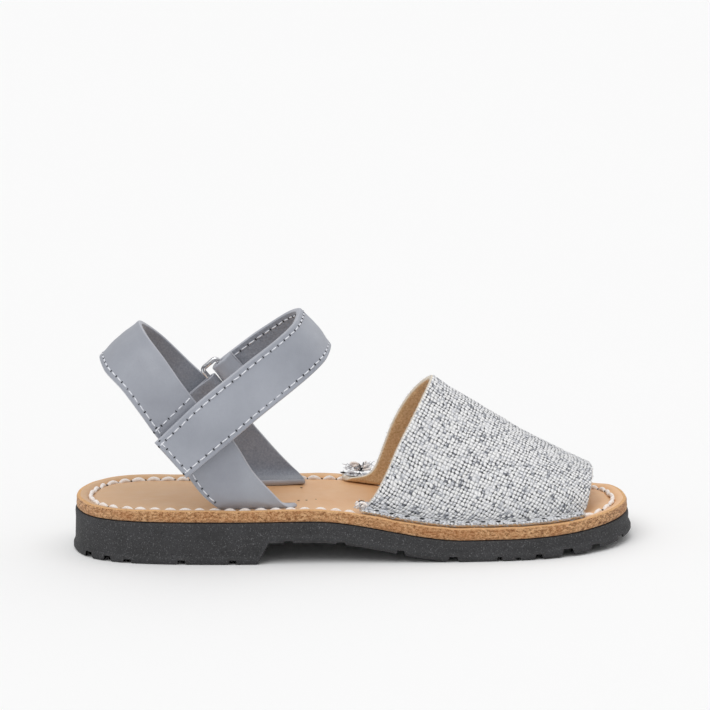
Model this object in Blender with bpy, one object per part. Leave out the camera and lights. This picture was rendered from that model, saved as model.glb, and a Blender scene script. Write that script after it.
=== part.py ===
# Child's two-strap sandal: woven vamp, slingback and ankle strap on a flat leather insole.
# Right shoe, toe towards +X, outer side towards -Y, ground at z = 0. Metres.

import bpy
import bmesh
import math
from mathutils import Vector

MM = 0.001

# Sole
SOLE_LENGTH = 191.6 * MM
SOLE_WIDTH = 71 * MM
LIP = 0.8 * MM
LIP_CHAMFER = 0.6 * MM
LIP_HEIGHT = 2.5 * MM
UPPER_BAND = 1.5 * MM
FORE_RUBBER = 7.0 * MM
HEEL_RUBBER = 14.2 * MM
TOE_SPRING = 2.6 * MM
HEEL_FRONT = 0.325
HEEL_FRONT_SLOPE = 4.0 * MM
DROP_START = 0.42
DROP_END = 0.70
SPRING_START = 0.78
GROOVE_WIDTH = 2.4 * MM
GROOVE_DEPTH = 1.7 * MM
GROOVE_SPAN = 1.5

# Leather insole
INSOLE_THICK = 3.9 * MM
INSOLE_INSET = 0.5 * MM
RIM_RAISE = 1.1 * MM
EDGE_ROUND = 0.6 * MM
STITCH_INSET = 4.6 * MM
BED_INSET = 9.0 * MM

# Upper
VAMP_WALL = 2.0 * MM
VAMP_RISE = 44.6 * MM
VAMP_FLANGE = 6.0 * MM
VAMP_RIM_INSET = 2.2 * MM
SLING_WALL = 2.0 * MM
SLING_RISE = 60.0 * MM
SLING_SPREAD = 27.5 * MM
ANKLE_WALL = 2.2 * MM
ANKLE_RISE = 64.0 * MM
PATCH_WALL = 1.1 * MM
PATCH_MARGIN = 0.14
FOLD_BACK = 5.5 * MM
FOLD_EASE = 0.7

# Ring and its tab
RING_WIRE = 0.9 * MM
RING_SHORT = 6.3 * MM
RING_CORNER = 1.3 * MM
TAB_WALL = 1.3 * MM
TAB_WIDTH = 12.5 * MM
TAB_LENGTH = 12.0 * MM

# Clearances
FIT = 0.3 * MM
VAMP_SEAT = 0.4 * MM

# Fineness of the meshes
PLAN_STEPS = 44
STATION_GAP = 0.012
FLANGE_SHARE = 0.16
VAMP_STEPS = (20, 40)
SLING_STEPS = (64, 4)
ANKLE_STEPS = (54, 4)
TURN_STEPS = 8
PATCH_ROWS = (1, 6)
CORNER_STEPS = 4
SHARP_ANGLE = 50
SLANT_STEP = 0.004

# Half widths of the sole's plan by share of the length from the heel, as shares of the width
PLAN = (
    ("along", "outer", "inner"),
    (0.000, 0.000, 0.000),
    (0.035, 0.268, 0.285),
    (0.080, 0.350, 0.375),
    (0.140, 0.400, 0.408),
    (0.220, 0.432, 0.392),
    (0.320, 0.452, 0.372),
    (0.420, 0.456, 0.370),
    (0.520, 0.468, 0.405),
    (0.620, 0.480, 0.445),
    (0.700, 0.485, 0.487),
    (0.770, 0.482, 0.508),
    (0.840, 0.458, 0.498),
    (0.900, 0.400, 0.460),
    (0.940, 0.325, 0.402),
    (0.970, 0.240, 0.320),
    (0.990, 0.140, 0.208),
    (1.000, 0.000, 0.000),
)

# The vamp's crest: share of its length, share of its rise, fullness of the arch, shift
VAMP = (
    ("along", "height", "fullness", "shift"),
    (0.00, 1.000, 1.75, 0.10),
    (0.20, 0.842, 1.85, 0.10),
    (0.45, 0.640, 2.00, 0.09),
    (0.70, 0.448, 2.25, 0.06),
    (0.88, 0.312, 2.50, 0.04),
    (1.00, 0.228, 2.70, 0.03),
)

# Where the vamp's two open edges stand: shares of the sole's length at the foot and at the crest
VAMP_BACK_FOOT_OUTER = 0.512
VAMP_BACK_FOOT_INNER = 0.486
VAMP_BACK_CREST = 0.645
VAMP_FRONT_FOOT = 0.915
VAMP_FRONT_CREST = 0.935

# Course of the vamp's open edges from foot to crest, by share of the height
VAMP_LEAN = (
    ("lift", "outer", "inner"),
    (0.00, 0.000, 0.000),
    (0.04, 0.070, 0.250),
    (0.10, 0.160, 0.350),
    (0.30, 0.345, 0.465),
    (0.50, 0.500, 0.565),
    (0.75, 0.735, 0.735),
    (0.90, 0.885, 0.875),
    (1.00, 1.000, 1.000),
)

# The slingback from the outer foot round the heel to the inner foot:
# front edge and rear edge as shares of the sole's length and of the rise, and y as a share of its spread
SLING = (
    ("front_x", "front_z", "rear_x", "rear_z", "y"),
    (-0.101, 0.000, -0.236, 0.000, -0.920),
    (-0.107, 0.002, -0.239, 0.002, -0.950),
    (-0.122, 0.014, -0.247, 0.014, -0.972),
    (-0.147, 0.092, -0.267, 0.070, -0.985),
    (-0.178, 0.210, -0.286, 0.150, -1.000),
    (-0.211, 0.389, -0.303, 0.240, -1.020),
    (-0.274, 0.610, -0.351, 0.437, -1.020),
    (-0.301, 0.725, -0.377, 0.556, -0.985),
    (-0.334, 0.870, -0.410, 0.688, -0.830),
    (-0.362, 0.968, -0.438, 0.762, -0.520),
    (-0.372, 1.000, -0.445, 0.790, -0.120),
    (-0.361, 0.950, -0.432, 0.750, 0.290),
    (-0.331, 0.846, -0.402, 0.660, 0.580),
    (-0.288, 0.692, -0.361, 0.524, 0.730),
    (-0.249, 0.571, -0.323, 0.405, 0.740),
    (-0.201, 0.420, -0.282, 0.250, 0.740),
    (-0.162, 0.265, -0.249, 0.125, 0.735),
    (-0.125, 0.128, -0.228, 0.068, 0.705),
    (-0.098, 0.040, -0.221, 0.028, 0.665),
    (-0.086, 0.004, -0.219, 0.004, 0.545),
    (-0.082, 0.000, -0.219, 0.000, 0.360),
)

# The ankle strap from its outer end over the instep to the ring, by its upper and lower edges
ANKLE = (
    ("upper_x", "upper_z", "lower_x", "lower_z", "y"),
    (-0.3519, 0.395, -0.2963, 0.200, -1.165),
    (-0.2725, 0.615, -0.2140, 0.400, -1.165),
    (-0.2214, 0.735, -0.1649, 0.520, -1.140),
    (-0.1783, 0.830, -0.1198, 0.620, -1.070),
    (-0.1313, 0.920, -0.0747, 0.712, -0.880),
    (-0.1002, 0.978, -0.0447, 0.770, -0.520),
    (-0.0922, 1.000, -0.0367, 0.790, -0.080),
    (-0.1063, 0.962, -0.0507, 0.756, 0.300),
    (-0.1394, 0.880, -0.0838, 0.680, 0.560),
    (-0.1755, 0.800, -0.1199, 0.600, 0.660),
    (-0.2336, 0.668, -0.1780, 0.468, 0.680),
)

# The ankle strap's end after its fold: share of the way back and share of the closing towards the strap
STRAP_RETURN = (
    ("way", "close"),
    (0.40, 0.7),
    (0.75, 1.0),
    (1.00, 1.0),
)

# The tab's layers as shares of its length: the layer on the slingback, then the layer on the strap's side
TAB_UNDER = (1.0, 0.5, 0.2)
TAB_RETURN = (
    ("way", "close"),
    (0.25, 0.6),
    (0.45, 1.0),
    (0.70, 1.0),
    (0.95, 1.0),
)

# Transverse grooves of the tread: share of the length, turn in degrees
GROOVES = (
    ("along", "turn"),
    (0.035, 12),
    (0.085, -10),
    (0.145, 12),
    (0.215, -10),
    (0.285, 12),
    (0.630, -12),
    (0.695, 12),
    (0.760, -12),
    (0.825, 12),
    (0.885, -12),
    (0.940, 12),
)


def columns(table):
    """Turns a table with a heading row into a list of dictionaries."""
    names = table[0]
    return [dict(zip(names, row)) for row in table[1:]]


def curve_value(xs, ys, x):
    """Smooth curve through the points (xs, ys), without overshoot."""
    last = len(xs) - 1
    x = min(max(x, xs[0]), xs[last])
    k = 0
    while k < last - 1 and x > xs[k + 1]:
        k += 1
    slopes = []
    for i in (k, k + 1):
        if i == 0:
            slopes.append((ys[1] - ys[0]) / (xs[1] - xs[0]))
        elif i == last:
            slopes.append((ys[last] - ys[last - 1]) / (xs[last] - xs[last - 1]))
        else:
            before = (ys[i] - ys[i - 1]) / (xs[i] - xs[i - 1])
            after = (ys[i + 1] - ys[i]) / (xs[i + 1] - xs[i])
            flat = before * after <= 0
            slopes.append(0.0 if flat else 2 * before * after / (before + after))
    step = xs[k + 1] - xs[k]
    t = (x - xs[k]) / step
    h00 = 2 * t ** 3 - 3 * t ** 2 + 1
    h10 = t ** 3 - 2 * t ** 2 + t
    h01 = 3 * t ** 2 - 2 * t ** 3
    h11 = t ** 3 - t ** 2
    return h00 * ys[k] + h10 * step * slopes[0] + h01 * ys[k + 1] + h11 * step * slopes[1]


def table_value(rows, key, name, x):
    """Reads one column of a table at x, smoothly."""
    return curve_value([row[key] for row in rows], [row[name] for row in rows], x)


def smoothstep(low, high, x):
    t = min(max((x - low) / (high - low), 0.0), 1.0)
    return t * t * (3 - 2 * t)


PLAN_ROWS = columns(PLAN)
PLAN_ANGLES = [math.acos(1 - 2 * row["along"]) for row in PLAN_ROWS]
PLAN_MIDDLE = (max(row["inner"] for row in PLAN_ROWS) - max(row["outer"] for row in PLAN_ROWS)) / 2


def edge_y(along, side):
    """Y of the sole's edge at a share of its length; side is outer or inner."""
    angle = math.acos(1 - 2 * min(max(along, 0.0), 1.0))
    half = curve_value(PLAN_ANGLES, [row[side] for row in PLAN_ROWS], angle)
    sign = -1 if side == "outer" else 1
    return (sign * half - PLAN_MIDDLE) * SOLE_WIDTH


def edge_slant(along, side):
    """Cosine of the angle between the sole's edge and its length."""
    rise = edge_y(along + SLANT_STEP, side) - edge_y(along - SLANT_STEP, side)
    return math.cos(math.atan2(rise, 2 * SLANT_STEP * SOLE_LENGTH))


def rubber_top(along):
    """Height of the rubber's upper face."""
    drop = (HEEL_RUBBER - FORE_RUBBER) * smoothstep(DROP_START, DROP_END, along)
    return HEEL_RUBBER - drop + toe_rise(along)


def toe_rise(along):
    past = max(along - SPRING_START, 0.0) / (1 - SPRING_START)
    return TOE_SPRING * past ** 2


def rubber_bottom(along):
    """Height of the rubber's lower face: heel block, arch and forefoot."""
    if along <= HEEL_FRONT:
        return 0.0
    return rubber_top(along) - FORE_RUBBER


def plan_stations():
    """Shares of the length, close together at both ends, with the heel block's front face as two of them."""
    shares = [(1 - math.cos(math.pi * k / PLAN_STEPS)) / 2 for k in range(PLAN_STEPS + 1)]
    front = HEEL_FRONT
    back = HEEL_FRONT + HEEL_FRONT_SLOPE / SOLE_LENGTH
    shares = [s for s in shares if not front - STATION_GAP < s < back + STATION_GAP]
    return sorted(shares + [front, back])


def plan_ring(inset, stations):
    """Outer and inner edge points of the sole's plan, moved inwards by inset."""
    outline = [(x_at(s), edge_y(s, "outer")) for s in stations]
    outline += [(x_at(s), edge_y(s, "inner")) for s in reversed(stations[1:-1])]
    count = len(outline)
    moved = []
    for i in range(count):
        before = Vector(outline[i - 1])
        after = Vector(outline[(i + 1) % count])
        along = (after - before).normalized()
        normal = Vector((-along.y, along.x))
        moved.append(Vector(outline[i]) + normal * inset)
    return moved


def ring_stack(name, levels, stations):
    """Closed solid from rings of the plan: each level has an inset and a height function."""
    mesh = bpy.data.meshes.new(name)
    work = bmesh.new()
    shares = list(stations) + list(reversed(stations[1:-1]))
    rings = []
    for inset, height in levels:
        flat = plan_ring(inset, stations)
        rings.append([work.verts.new((p.x, p.y, height(s))) for p, s in zip(flat, shares)])
    count = len(shares)
    for low, high in zip(rings[:-1], rings[1:]):
        for i in range(count):
            j = (i + 1) % count
            work.faces.new((low[i], low[j], high[j], high[i]))
    last = len(stations) - 1
    for ring in (rings[0], rings[-1]):
        for k in range(last):
            outer_a = ring[k]
            outer_b = ring[k + 1]
            inner_a = ring[(count - k) % count]
            inner_b = ring[count - k - 1]
            corners = [outer_a, outer_b, inner_b, inner_a]
            unique = [v for n, v in enumerate(corners) if v not in corners[:n]]
            work.faces.new(unique)
    bmesh.ops.recalc_face_normals(work, faces=work.faces)
    work.to_mesh(mesh)
    work.free()
    return bpy.data.objects.new(name, mesh)


def wall_from_grid(name, middle, wall):
    """Closed wall of even thickness about a grid of points."""
    rows = len(middle)
    cols = len(middle[0])
    mesh = bpy.data.meshes.new(name)
    work = bmesh.new()
    layers = []
    for side in (0.5, -0.5):
        layer = []
        for i in range(rows):
            line = []
            for j in range(cols):
                across = middle[min(i + 1, rows - 1)][j] - middle[max(i - 1, 0)][j]
                along = middle[i][min(j + 1, cols - 1)] - middle[i][max(j - 1, 0)]
                normal = across.cross(along).normalized()
                line.append(work.verts.new(middle[i][j] + normal * wall * side))
            layer.append(line)
        layers.append(layer)
    for layer in layers:
        for i in range(rows - 1):
            for j in range(cols - 1):
                work.faces.new((layer[i][j], layer[i + 1][j], layer[i + 1][j + 1], layer[i][j + 1]))
    rim = [(i, 0) for i in range(rows)]
    rim += [(rows - 1, j) for j in range(1, cols)]
    rim += [(i, cols - 1) for i in range(rows - 2, -1, -1)]
    rim += [(0, j) for j in range(cols - 2, 0, -1)]
    for n, (i, j) in enumerate(rim):
        a, b = rim[(n + 1) % len(rim)]
        work.faces.new((layers[0][i][j], layers[0][a][b], layers[1][a][b], layers[1][i][j]))
    bmesh.ops.recalc_face_normals(work, faces=work.faces)
    work.to_mesh(mesh)
    work.free()
    mesh.shade_smooth()
    mesh.set_sharp_from_angle(angle=math.radians(SHARP_ANGLE))
    return bpy.data.objects.new(name, mesh)


def insole_top(along):
    """Height of the insole's flat bed."""
    return rubber_top(along) + FIT + INSOLE_THICK - RIM_RAISE


def x_at(along):
    """X at a share of the sole's length."""
    return -SOLE_LENGTH / 2 + LIP + along * (SOLE_LENGTH - 2 * LIP)


def ankle_grid():
    return strap_grid(columns(ANKLE), "upper", "lower", ANKLE_RISE, ANKLE_STEPS)


def strap_grid(rows, edge_a, edge_b, rise, fineness):
    """Ribbon between two edges given by a table of sections."""
    steps, across = fineness
    keys = list(range(len(rows)))
    base = insole_top(HEEL_FRONT) + FIT
    grid = []
    for n in range(steps + 1):
        t = (len(rows) - 1) * n / steps
        values = {}
        for name in rows[0]:
            values[name] = curve_value(keys, [row[name] for row in rows], t)
        y = values["y"] * SLING_SPREAD
        line = []
        for k in range(across + 1):
            s = k / across
            x = (values[edge_a + "_x"] * (1 - s) + values[edge_b + "_x"] * s) * SOLE_LENGTH
            z = (values[edge_a + "_z"] * (1 - s) + values[edge_b + "_z"] * s) * rise + base
            line.append(Vector((x, y, z)))
        grid.append(line)
    return grid


def material(name, color, roughness, metallic=0.0):
    made = bpy.data.materials.new(name)
    made.use_nodes = True
    shader = made.node_tree.nodes["Principled BSDF"]
    shader.inputs["Base Color"].default_value = (*color, 1)
    shader.inputs["Roughness"].default_value = roughness
    shader.inputs["Metallic"].default_value = metallic
    return made


def place(obj, collection, made):
    collection.objects.link(obj)
    obj.data.materials.append(made)
    return obj


def make_outsole(collection, cutters):
    stations = plan_stations()
    levels = (
        (LIP / 2, rubber_bottom),
        (-LIP, lambda s: rubber_bottom(s) + LIP_CHAMFER),
        (-LIP, lambda s: rubber_bottom(s) + LIP_HEIGHT),
        (0.0, lambda s: rubber_top(s) - UPPER_BAND),
        (0.0, rubber_top),
    )
    outsole = ring_stack("outsole", levels, stations)
    place(outsole, collection, material("rubber", (0.045, 0.046, 0.05), 0.75))
    for n, row in enumerate(columns(GROOVES)):
        bpy.ops.mesh.primitive_cube_add(size=1)
        groove = bpy.context.active_object
        groove.name = "groove_cutter_%02d" % n
        along = row["along"]
        depth = GROOVE_DEPTH + rubber_bottom(along)
        groove.scale = (GROOVE_WIDTH, SOLE_WIDTH * GROOVE_SPAN, 2 * depth)
        groove.location = (x_at(along), 0, 0)
        groove.rotation_euler = (0, 0, math.radians(row["turn"]))
        groove.hide_render = True
        groove.display_type = "WIRE"
        for owner in groove.users_collection:
            owner.objects.unlink(groove)
        cutters.objects.link(groove)
    cut = outsole.modifiers.new("tread", "BOOLEAN")
    cut.operand_type = "COLLECTION"
    cut.collection = cutters
    cut.operation = "DIFFERENCE"
    cut.solver = "EXACT"
    return outsole


def make_insole(collection):
    stations = plan_stations()
    inset = INSOLE_INSET

    def rim(s):
        return rubber_top(s) + FIT + INSOLE_THICK

    levels = (
        (inset, lambda s: rubber_top(s) + FIT),
        (inset, lambda s: rim(s) - EDGE_ROUND),
        (inset + EDGE_ROUND, rim),
        (inset + STITCH_INSET, insole_top),
        (inset + BED_INSET, insole_top),
    )
    insole = ring_stack("insole", levels, stations)
    place(insole, collection, material("tan_leather", (0.56, 0.33, 0.17), 0.55))
    return insole


def vamp_grid(steps, across):
    """Middle surface of the vamp with its turned-out flanges."""
    rows = columns(VAMP)
    lean_rows = columns(VAMP_LEAN)
    grid = []
    for n in range(steps + 1):
        u = n / steps
        section = {name: table_value(rows, "along", name, u) for name in rows[0]}
        grid.append([vamp_point(u, k / across * 2 - 1, section, lean_rows) for k in range(across + 1)])
    return grid


def vamp_point(u, w, section, lean_rows):
    """A point of the vamp: u from back to front, w from the outer rim to the inner rim."""
    side = "outer" if w < 0 else "inner"
    past = abs(w)
    on_flange = past > 1 - FLANGE_SHARE
    angle = min(past / (1 - FLANGE_SHARE), 1.0) * math.pi / 2
    power = 2 / section["fullness"]
    lift = 0.0 if on_flange else math.cos(angle) ** power
    cross = 1.0 if on_flange else math.sin(angle) ** power
    reach = VAMP_RIM_INSET + VAMP_FLANGE * min((1 - past) / FLANGE_SHARE, 1.0)
    back_foot = VAMP_BACK_FOOT_OUTER if side == "outer" else VAMP_BACK_FOOT_INNER
    foot = back_foot + (VAMP_FRONT_FOOT - back_foot) * u
    crest = VAMP_BACK_CREST + (VAMP_FRONT_CREST - VAMP_BACK_CREST) * u
    along = foot + (crest - foot) * table_value(lean_rows, "lift", side, lift)
    outer = edge_y(along, "outer") + (INSOLE_INSET + reach) / edge_slant(along, "outer")
    inner = edge_y(along, "inner") - (INSOLE_INSET + reach) / edge_slant(along, "inner")
    half = (inner - outer) / 2
    sign = -1 if side == "outer" else 1
    y = (outer + inner) / 2 + sign * half * cross + section["shift"] * half * lift
    rim_share = (STITCH_INSET - reach) / (STITCH_INSET - EDGE_ROUND)
    rim_lift = RIM_RAISE * max(0.0, rim_share)
    rise = VAMP_RISE * section["height"] * lift
    z = insole_top(along) + VAMP_SEAT + VAMP_WALL / 2 + rim_lift + rise
    return Vector((x_at(along), y, z))


def make_vamp(collection):
    vamp = wall_from_grid("vamp", vamp_grid(*VAMP_STEPS), VAMP_WALL)
    return place(vamp, collection, material("linen", (0.55, 0.57, 0.62), 0.9))


def make_slingback(collection):
    grid = strap_grid(columns(SLING), "front", "rear", SLING_RISE, SLING_STEPS)
    for line in grid:
        for point in line:
            point.z += SLING_WALL / 2
    sling = wall_from_grid("slingback", grid, SLING_WALL)
    return place(sling, collection, material("grey_leather", (0.33, 0.35, 0.40), 0.5))


def half_turn(radius):
    """Half turn of a strap round a bar: pairs of distance past the bar's centre and y from it."""
    angles = [math.pi / 2 - math.pi * k / TURN_STEPS for k in range(TURN_STEPS + 1)]
    return [(radius * math.cos(angle), radius * math.sin(angle)) for angle in angles]


def ring_frame():
    """The ring's place: centre of its front bar, direction away from the strap, direction across, half width."""
    rows = ankle_grid()
    upper = rows[-1][0]
    lower = rows[-1][-1]
    across = (upper - lower).normalized()
    away = Vector((-across.z, 0, across.x))
    if away.dot(upper - rows[-2][0]) < 0:
        away.negate()
    bar = (upper + lower) / 2
    bar.y -= ANKLE_WALL / 2 + FIT + RING_WIRE
    half = (upper - lower).length / 2
    return bar, away, across, half


def make_ankle_strap(collection):
    grid = ankle_grid()
    bar, away, _, _ = ring_frame()
    radius = ANKLE_WALL / 2 + FIT + RING_WIRE
    closing = 2 * radius - ANKLE_WALL - FIT
    path = half_turn(radius)[1:]
    path.append((-radius * FOLD_EASE, -radius))
    for row in columns(STRAP_RETURN):
        path.append((-radius - (FOLD_BACK - radius) * row["way"], -radius + closing * row["close"]))
    last = grid[-1]
    for past, up in path:
        grid.append([Vector((p.x, bar.y + up, p.z)) + away * past for p in last])
    strap = wall_from_grid("ankle_strap", grid, ANKLE_WALL)
    return place(strap, collection, material("grey_strap_leather", (0.33, 0.35, 0.40), 0.5))


def make_patch(collection):
    """Hook-and-loop layer between the strap's outer end and the slingback."""
    grid = ankle_grid()
    rows = grid[slice(*PATCH_ROWS)]
    shift = ANKLE_WALL / 2 + FIT + PATCH_WALL / 2
    middle = []
    for line in rows:
        ends = (line[0].lerp(line[-1], PATCH_MARGIN), line[0].lerp(line[-1], 1 - PATCH_MARGIN))
        middle.append([ends[0].lerp(ends[1], k / 2) + Vector((0, shift, 0)) for k in range(3)])
    patch = wall_from_grid("hook_loop_patch", middle, PATCH_WALL)
    return place(patch, collection, material("hook_loop", (0.20, 0.21, 0.24), 0.95))


def make_ring(collection):
    """Wire ring between the ankle strap's fold and the tab."""
    bar, away, across, half = ring_frame()
    long = half + FIT + RING_CORNER
    corners = (
        (0, -long, math.pi),
        (RING_SHORT, -long, math.pi * 1.5),
        (RING_SHORT, long, 0),
        (0, long, math.pi / 2),
    )
    points = []
    for past, side, start in corners:
        centre_past = past + (RING_CORNER if past == 0 else -RING_CORNER)
        centre_side = side + (RING_CORNER if side < 0 else -RING_CORNER)
        for k in range(CORNER_STEPS + 1):
            angle = start + math.pi / 2 * k / CORNER_STEPS
            a = centre_past + RING_CORNER * math.cos(angle)
            b = centre_side + RING_CORNER * math.sin(angle)
            points.append(bar + away * a + across * b)
    data = bpy.data.curves.new("ring", "CURVE")
    data.dimensions = "3D"
    data.bevel_depth = RING_WIRE
    data.bevel_resolution = 2
    spline = data.splines.new("POLY")
    spline.points.add(len(points) - 1)
    for point, place_at in zip(spline.points, points):
        point.co = (*place_at, 1)
    spline.use_cyclic_u = True
    ring = bpy.data.objects.new("ring", data)
    return place(ring, collection, material("steel", (0.62, 0.62, 0.64), 0.25, 1.0))


def make_tab(collection):
    """Leather tab folded round the ring's rear bar, both layers on the slingback's inner face."""
    bar, away, across, _ = ring_frame()
    rear = bar + away * RING_SHORT
    radius = TAB_WALL / 2 + FIT + RING_WIRE
    closing = 2 * radius - TAB_WALL - FIT
    path = [(TAB_LENGTH * way, radius) for way in TAB_UNDER]
    path += [(-past, up) for past, up in half_turn(radius)]
    path += [(TAB_LENGTH * row["way"], -radius + closing * row["close"]) for row in columns(TAB_RETURN)]
    grid = []
    for past, up in path:
        centre = rear + away * past + Vector((0, up, 0))
        grid.append([centre + across * (TAB_WIDTH * (k / 2 - 0.5)) for k in range(3)])
    tab = wall_from_grid("ring_tab", grid, TAB_WALL)
    return place(tab, collection, material("tab_leather", (0.33, 0.35, 0.40), 0.55))


def build():
    for obj in list(bpy.data.objects):
        bpy.data.objects.remove(obj, do_unlink=True)
    parts = bpy.data.collections.new("avarca_sandal")
    cutters = bpy.data.collections.new("cutters")
    bpy.context.scene.collection.children.link(parts)
    bpy.context.scene.collection.children.link(cutters)
    make_outsole(parts, cutters)
    make_insole(parts)
    make_vamp(parts)
    make_slingback(parts)
    make_ankle_strap(parts)
    make_patch(parts)
    make_ring(parts)
    make_tab(parts)


build()
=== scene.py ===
import math

import bpy
import numpy as np
from mathutils import Matrix, Vector


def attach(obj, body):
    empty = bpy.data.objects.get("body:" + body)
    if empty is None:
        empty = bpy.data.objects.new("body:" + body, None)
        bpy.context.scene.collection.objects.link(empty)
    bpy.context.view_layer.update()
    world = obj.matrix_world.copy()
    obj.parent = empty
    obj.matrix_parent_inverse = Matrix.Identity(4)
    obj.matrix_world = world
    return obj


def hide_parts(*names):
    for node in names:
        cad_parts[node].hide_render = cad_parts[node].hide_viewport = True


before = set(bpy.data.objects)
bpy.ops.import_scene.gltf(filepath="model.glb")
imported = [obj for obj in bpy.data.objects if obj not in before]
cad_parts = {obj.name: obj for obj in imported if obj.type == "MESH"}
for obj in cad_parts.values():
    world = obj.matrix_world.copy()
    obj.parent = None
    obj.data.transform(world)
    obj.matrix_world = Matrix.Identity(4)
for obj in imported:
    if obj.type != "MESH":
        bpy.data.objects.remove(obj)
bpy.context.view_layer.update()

MM = 0.001
BODY = "root"

# Sizes that repeat the model's own
LENGTH = 190.0 * MM
HALF = LENGTH / 2
WIDTH = 71 * MM
LIP = 0.8 * MM
FORE_RUBBER = 7.0 * MM
HEEL_RUBBER = 14.2 * MM
TOE_SPRING = 2.6 * MM
HEEL_FRONT = 0.325
HEEL_SLOPE = 4.0 * MM
DROP = (0.42, 0.70)
SPRING_START = 0.78
INSOLE_THICK = 3.9 * MM
INSOLE_INSET = 0.5 * MM
RIM_RAISE = 1.1 * MM
STITCH_INSET = 4.6 * MM
SEAT = 0.3 * MM
VAMP_WALL = 2.0 * MM
VAMP_RISE = 44.6 * MM
VAMP_FLANGE = 6.0 * MM
VAMP_RIM_INSET = 2.2 * MM
SLING_WALL = 2.0 * MM
SLING_RISE = 60.0 * MM
SPREAD = 27.5 * MM
SOLE_LENGTH = 191.6 * MM
ANKLE_WALL = 2.2 * MM
ANKLE_RISE = 64.0 * MM
RING_WIRE = 0.9 * MM
RING_SHORT = 6.3 * MM
RING_CORNER = 1.3 * MM
TAB_WALL = 1.3 * MM
TAB_WIDTH = 12.5 * MM
TAB_LENGTH = 12.0 * MM
PATCH_WALL = 1.1 * MM
FOLD_BACK = 5.5 * MM
FOLD_EASE = 0.7
EDGE_ROUND = 0.6 * MM
VAMP_SEAT = 0.4 * MM
FLANGE_SHARE = 0.16
SLANT_STEP = 0.004
PATCH_MARGIN = 0.14
TURN_STEPS = 24

# Plan of the sole: share of the length, half widths of the outer and inner side as shares of the width
PLAN = np.array((
    (0.000, 0.000, 0.000),
    (0.035, 0.268, 0.285),
    (0.080, 0.350, 0.375),
    (0.140, 0.400, 0.408),
    (0.220, 0.432, 0.392),
    (0.320, 0.452, 0.372),
    (0.420, 0.456, 0.370),
    (0.520, 0.468, 0.405),
    (0.620, 0.480, 0.445),
    (0.700, 0.485, 0.487),
    (0.770, 0.482, 0.508),
    (0.840, 0.458, 0.498),
    (0.900, 0.400, 0.460),
    (0.940, 0.325, 0.402),
    (0.970, 0.240, 0.320),
    (0.990, 0.140, 0.208),
    (1.000, 0.000, 0.000),
))

# Vamp: share of its length, height of the crest, fullness of the arch, crest shift
VAMP = np.array((
    (0.00, 1.000, 1.75, 0.10),
    (0.20, 0.842, 1.85, 0.10),
    (0.45, 0.640, 2.00, 0.09),
    (0.70, 0.448, 2.25, 0.06),
    (0.88, 0.312, 2.50, 0.04),
    (1.00, 0.228, 2.70, 0.03),
))

# Where the vamp's two open edges stand, as shares of the sole's length
BACK_FOOT_OUTER = 0.512
BACK_FOOT_INNER = 0.486
BACK_CREST = 0.645
FRONT_FOOT = 0.915
FRONT_CREST = 0.935

# Course of the vamp's open edges from foot to crest: share of the height, outer side, inner side
VAMP_LEAN = np.array((
    (0.00, 0.000, 0.000),
    (0.04, 0.070, 0.250),
    (0.10, 0.160, 0.350),
    (0.30, 0.345, 0.465),
    (0.50, 0.500, 0.565),
    (0.75, 0.735, 0.735),
    (0.90, 0.885, 0.875),
    (1.00, 1.000, 1.000),
))

# Slingback: x and z of its front edge, x and z of its rear edge, y, from the outer foot to the inner foot
SLING = np.array((
    (-0.101, 0.000, -0.236, 0.000, -0.920),
    (-0.107, 0.002, -0.239, 0.002, -0.950),
    (-0.122, 0.014, -0.247, 0.014, -0.972),
    (-0.147, 0.092, -0.267, 0.070, -0.985),
    (-0.178, 0.210, -0.286, 0.150, -1.000),
    (-0.211, 0.389, -0.303, 0.240, -1.020),
    (-0.274, 0.610, -0.351, 0.437, -1.020),
    (-0.301, 0.725, -0.377, 0.556, -0.985),
    (-0.334, 0.870, -0.410, 0.688, -0.830),
    (-0.362, 0.968, -0.438, 0.762, -0.520),
    (-0.372, 1.000, -0.445, 0.790, -0.120),
    (-0.361, 0.950, -0.432, 0.750, 0.290),
    (-0.331, 0.846, -0.402, 0.660, 0.580),
    (-0.288, 0.692, -0.361, 0.524, 0.730),
    (-0.249, 0.571, -0.323, 0.405, 0.740),
    (-0.201, 0.420, -0.282, 0.250, 0.740),
    (-0.162, 0.265, -0.249, 0.125, 0.735),
    (-0.125, 0.128, -0.228, 0.068, 0.705),
    (-0.098, 0.040, -0.221, 0.028, 0.665),
    (-0.086, 0.004, -0.219, 0.004, 0.545),
    (-0.082, 0.000, -0.219, 0.000, 0.360),
))

# Ankle strap: x and z of its upper edge, x and z of its lower edge, y, from the outer end to the ring
ANKLE = np.array((
    (-0.3519, 0.395, -0.2963, 0.200, -1.165),
    (-0.2725, 0.615, -0.2140, 0.400, -1.165),
    (-0.2214, 0.735, -0.1649, 0.520, -1.140),
    (-0.1783, 0.830, -0.1198, 0.620, -1.070),
    (-0.1313, 0.920, -0.0747, 0.712, -0.880),
    (-0.1002, 0.978, -0.0447, 0.770, -0.520),
    (-0.0922, 1.000, -0.0367, 0.790, -0.080),
    (-0.1063, 0.962, -0.0507, 0.756, 0.300),
    (-0.1394, 0.880, -0.0838, 0.680, 0.560),
    (-0.1755, 0.800, -0.1199, 0.600, 0.660),
    (-0.2336, 0.668, -0.1780, 0.468, 0.680),
))

# Looks: swelling of the straps and the zone where it rises, seams, weave, rims: cut edges on the cloth,
# painted highlight on the leather
STRAP_CROWN = 0.45 * MM
CROWN_FROM = 1.6 * MM
CROWN_TO = 7.5 * MM
SEAM_INSET = 1.9 * MM
MARGIN_SEAM = 2.1 * MM
WEAVE = 1.28 * MM
RIM_ZONE = 0.3

# Side of each wall's grid that faces out: 1 along its normals, -1 against them
SLING_OUT = 1
ANKLE_OUT = -1
TAB_OUT = 1
VAMP_OUT = 1

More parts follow.
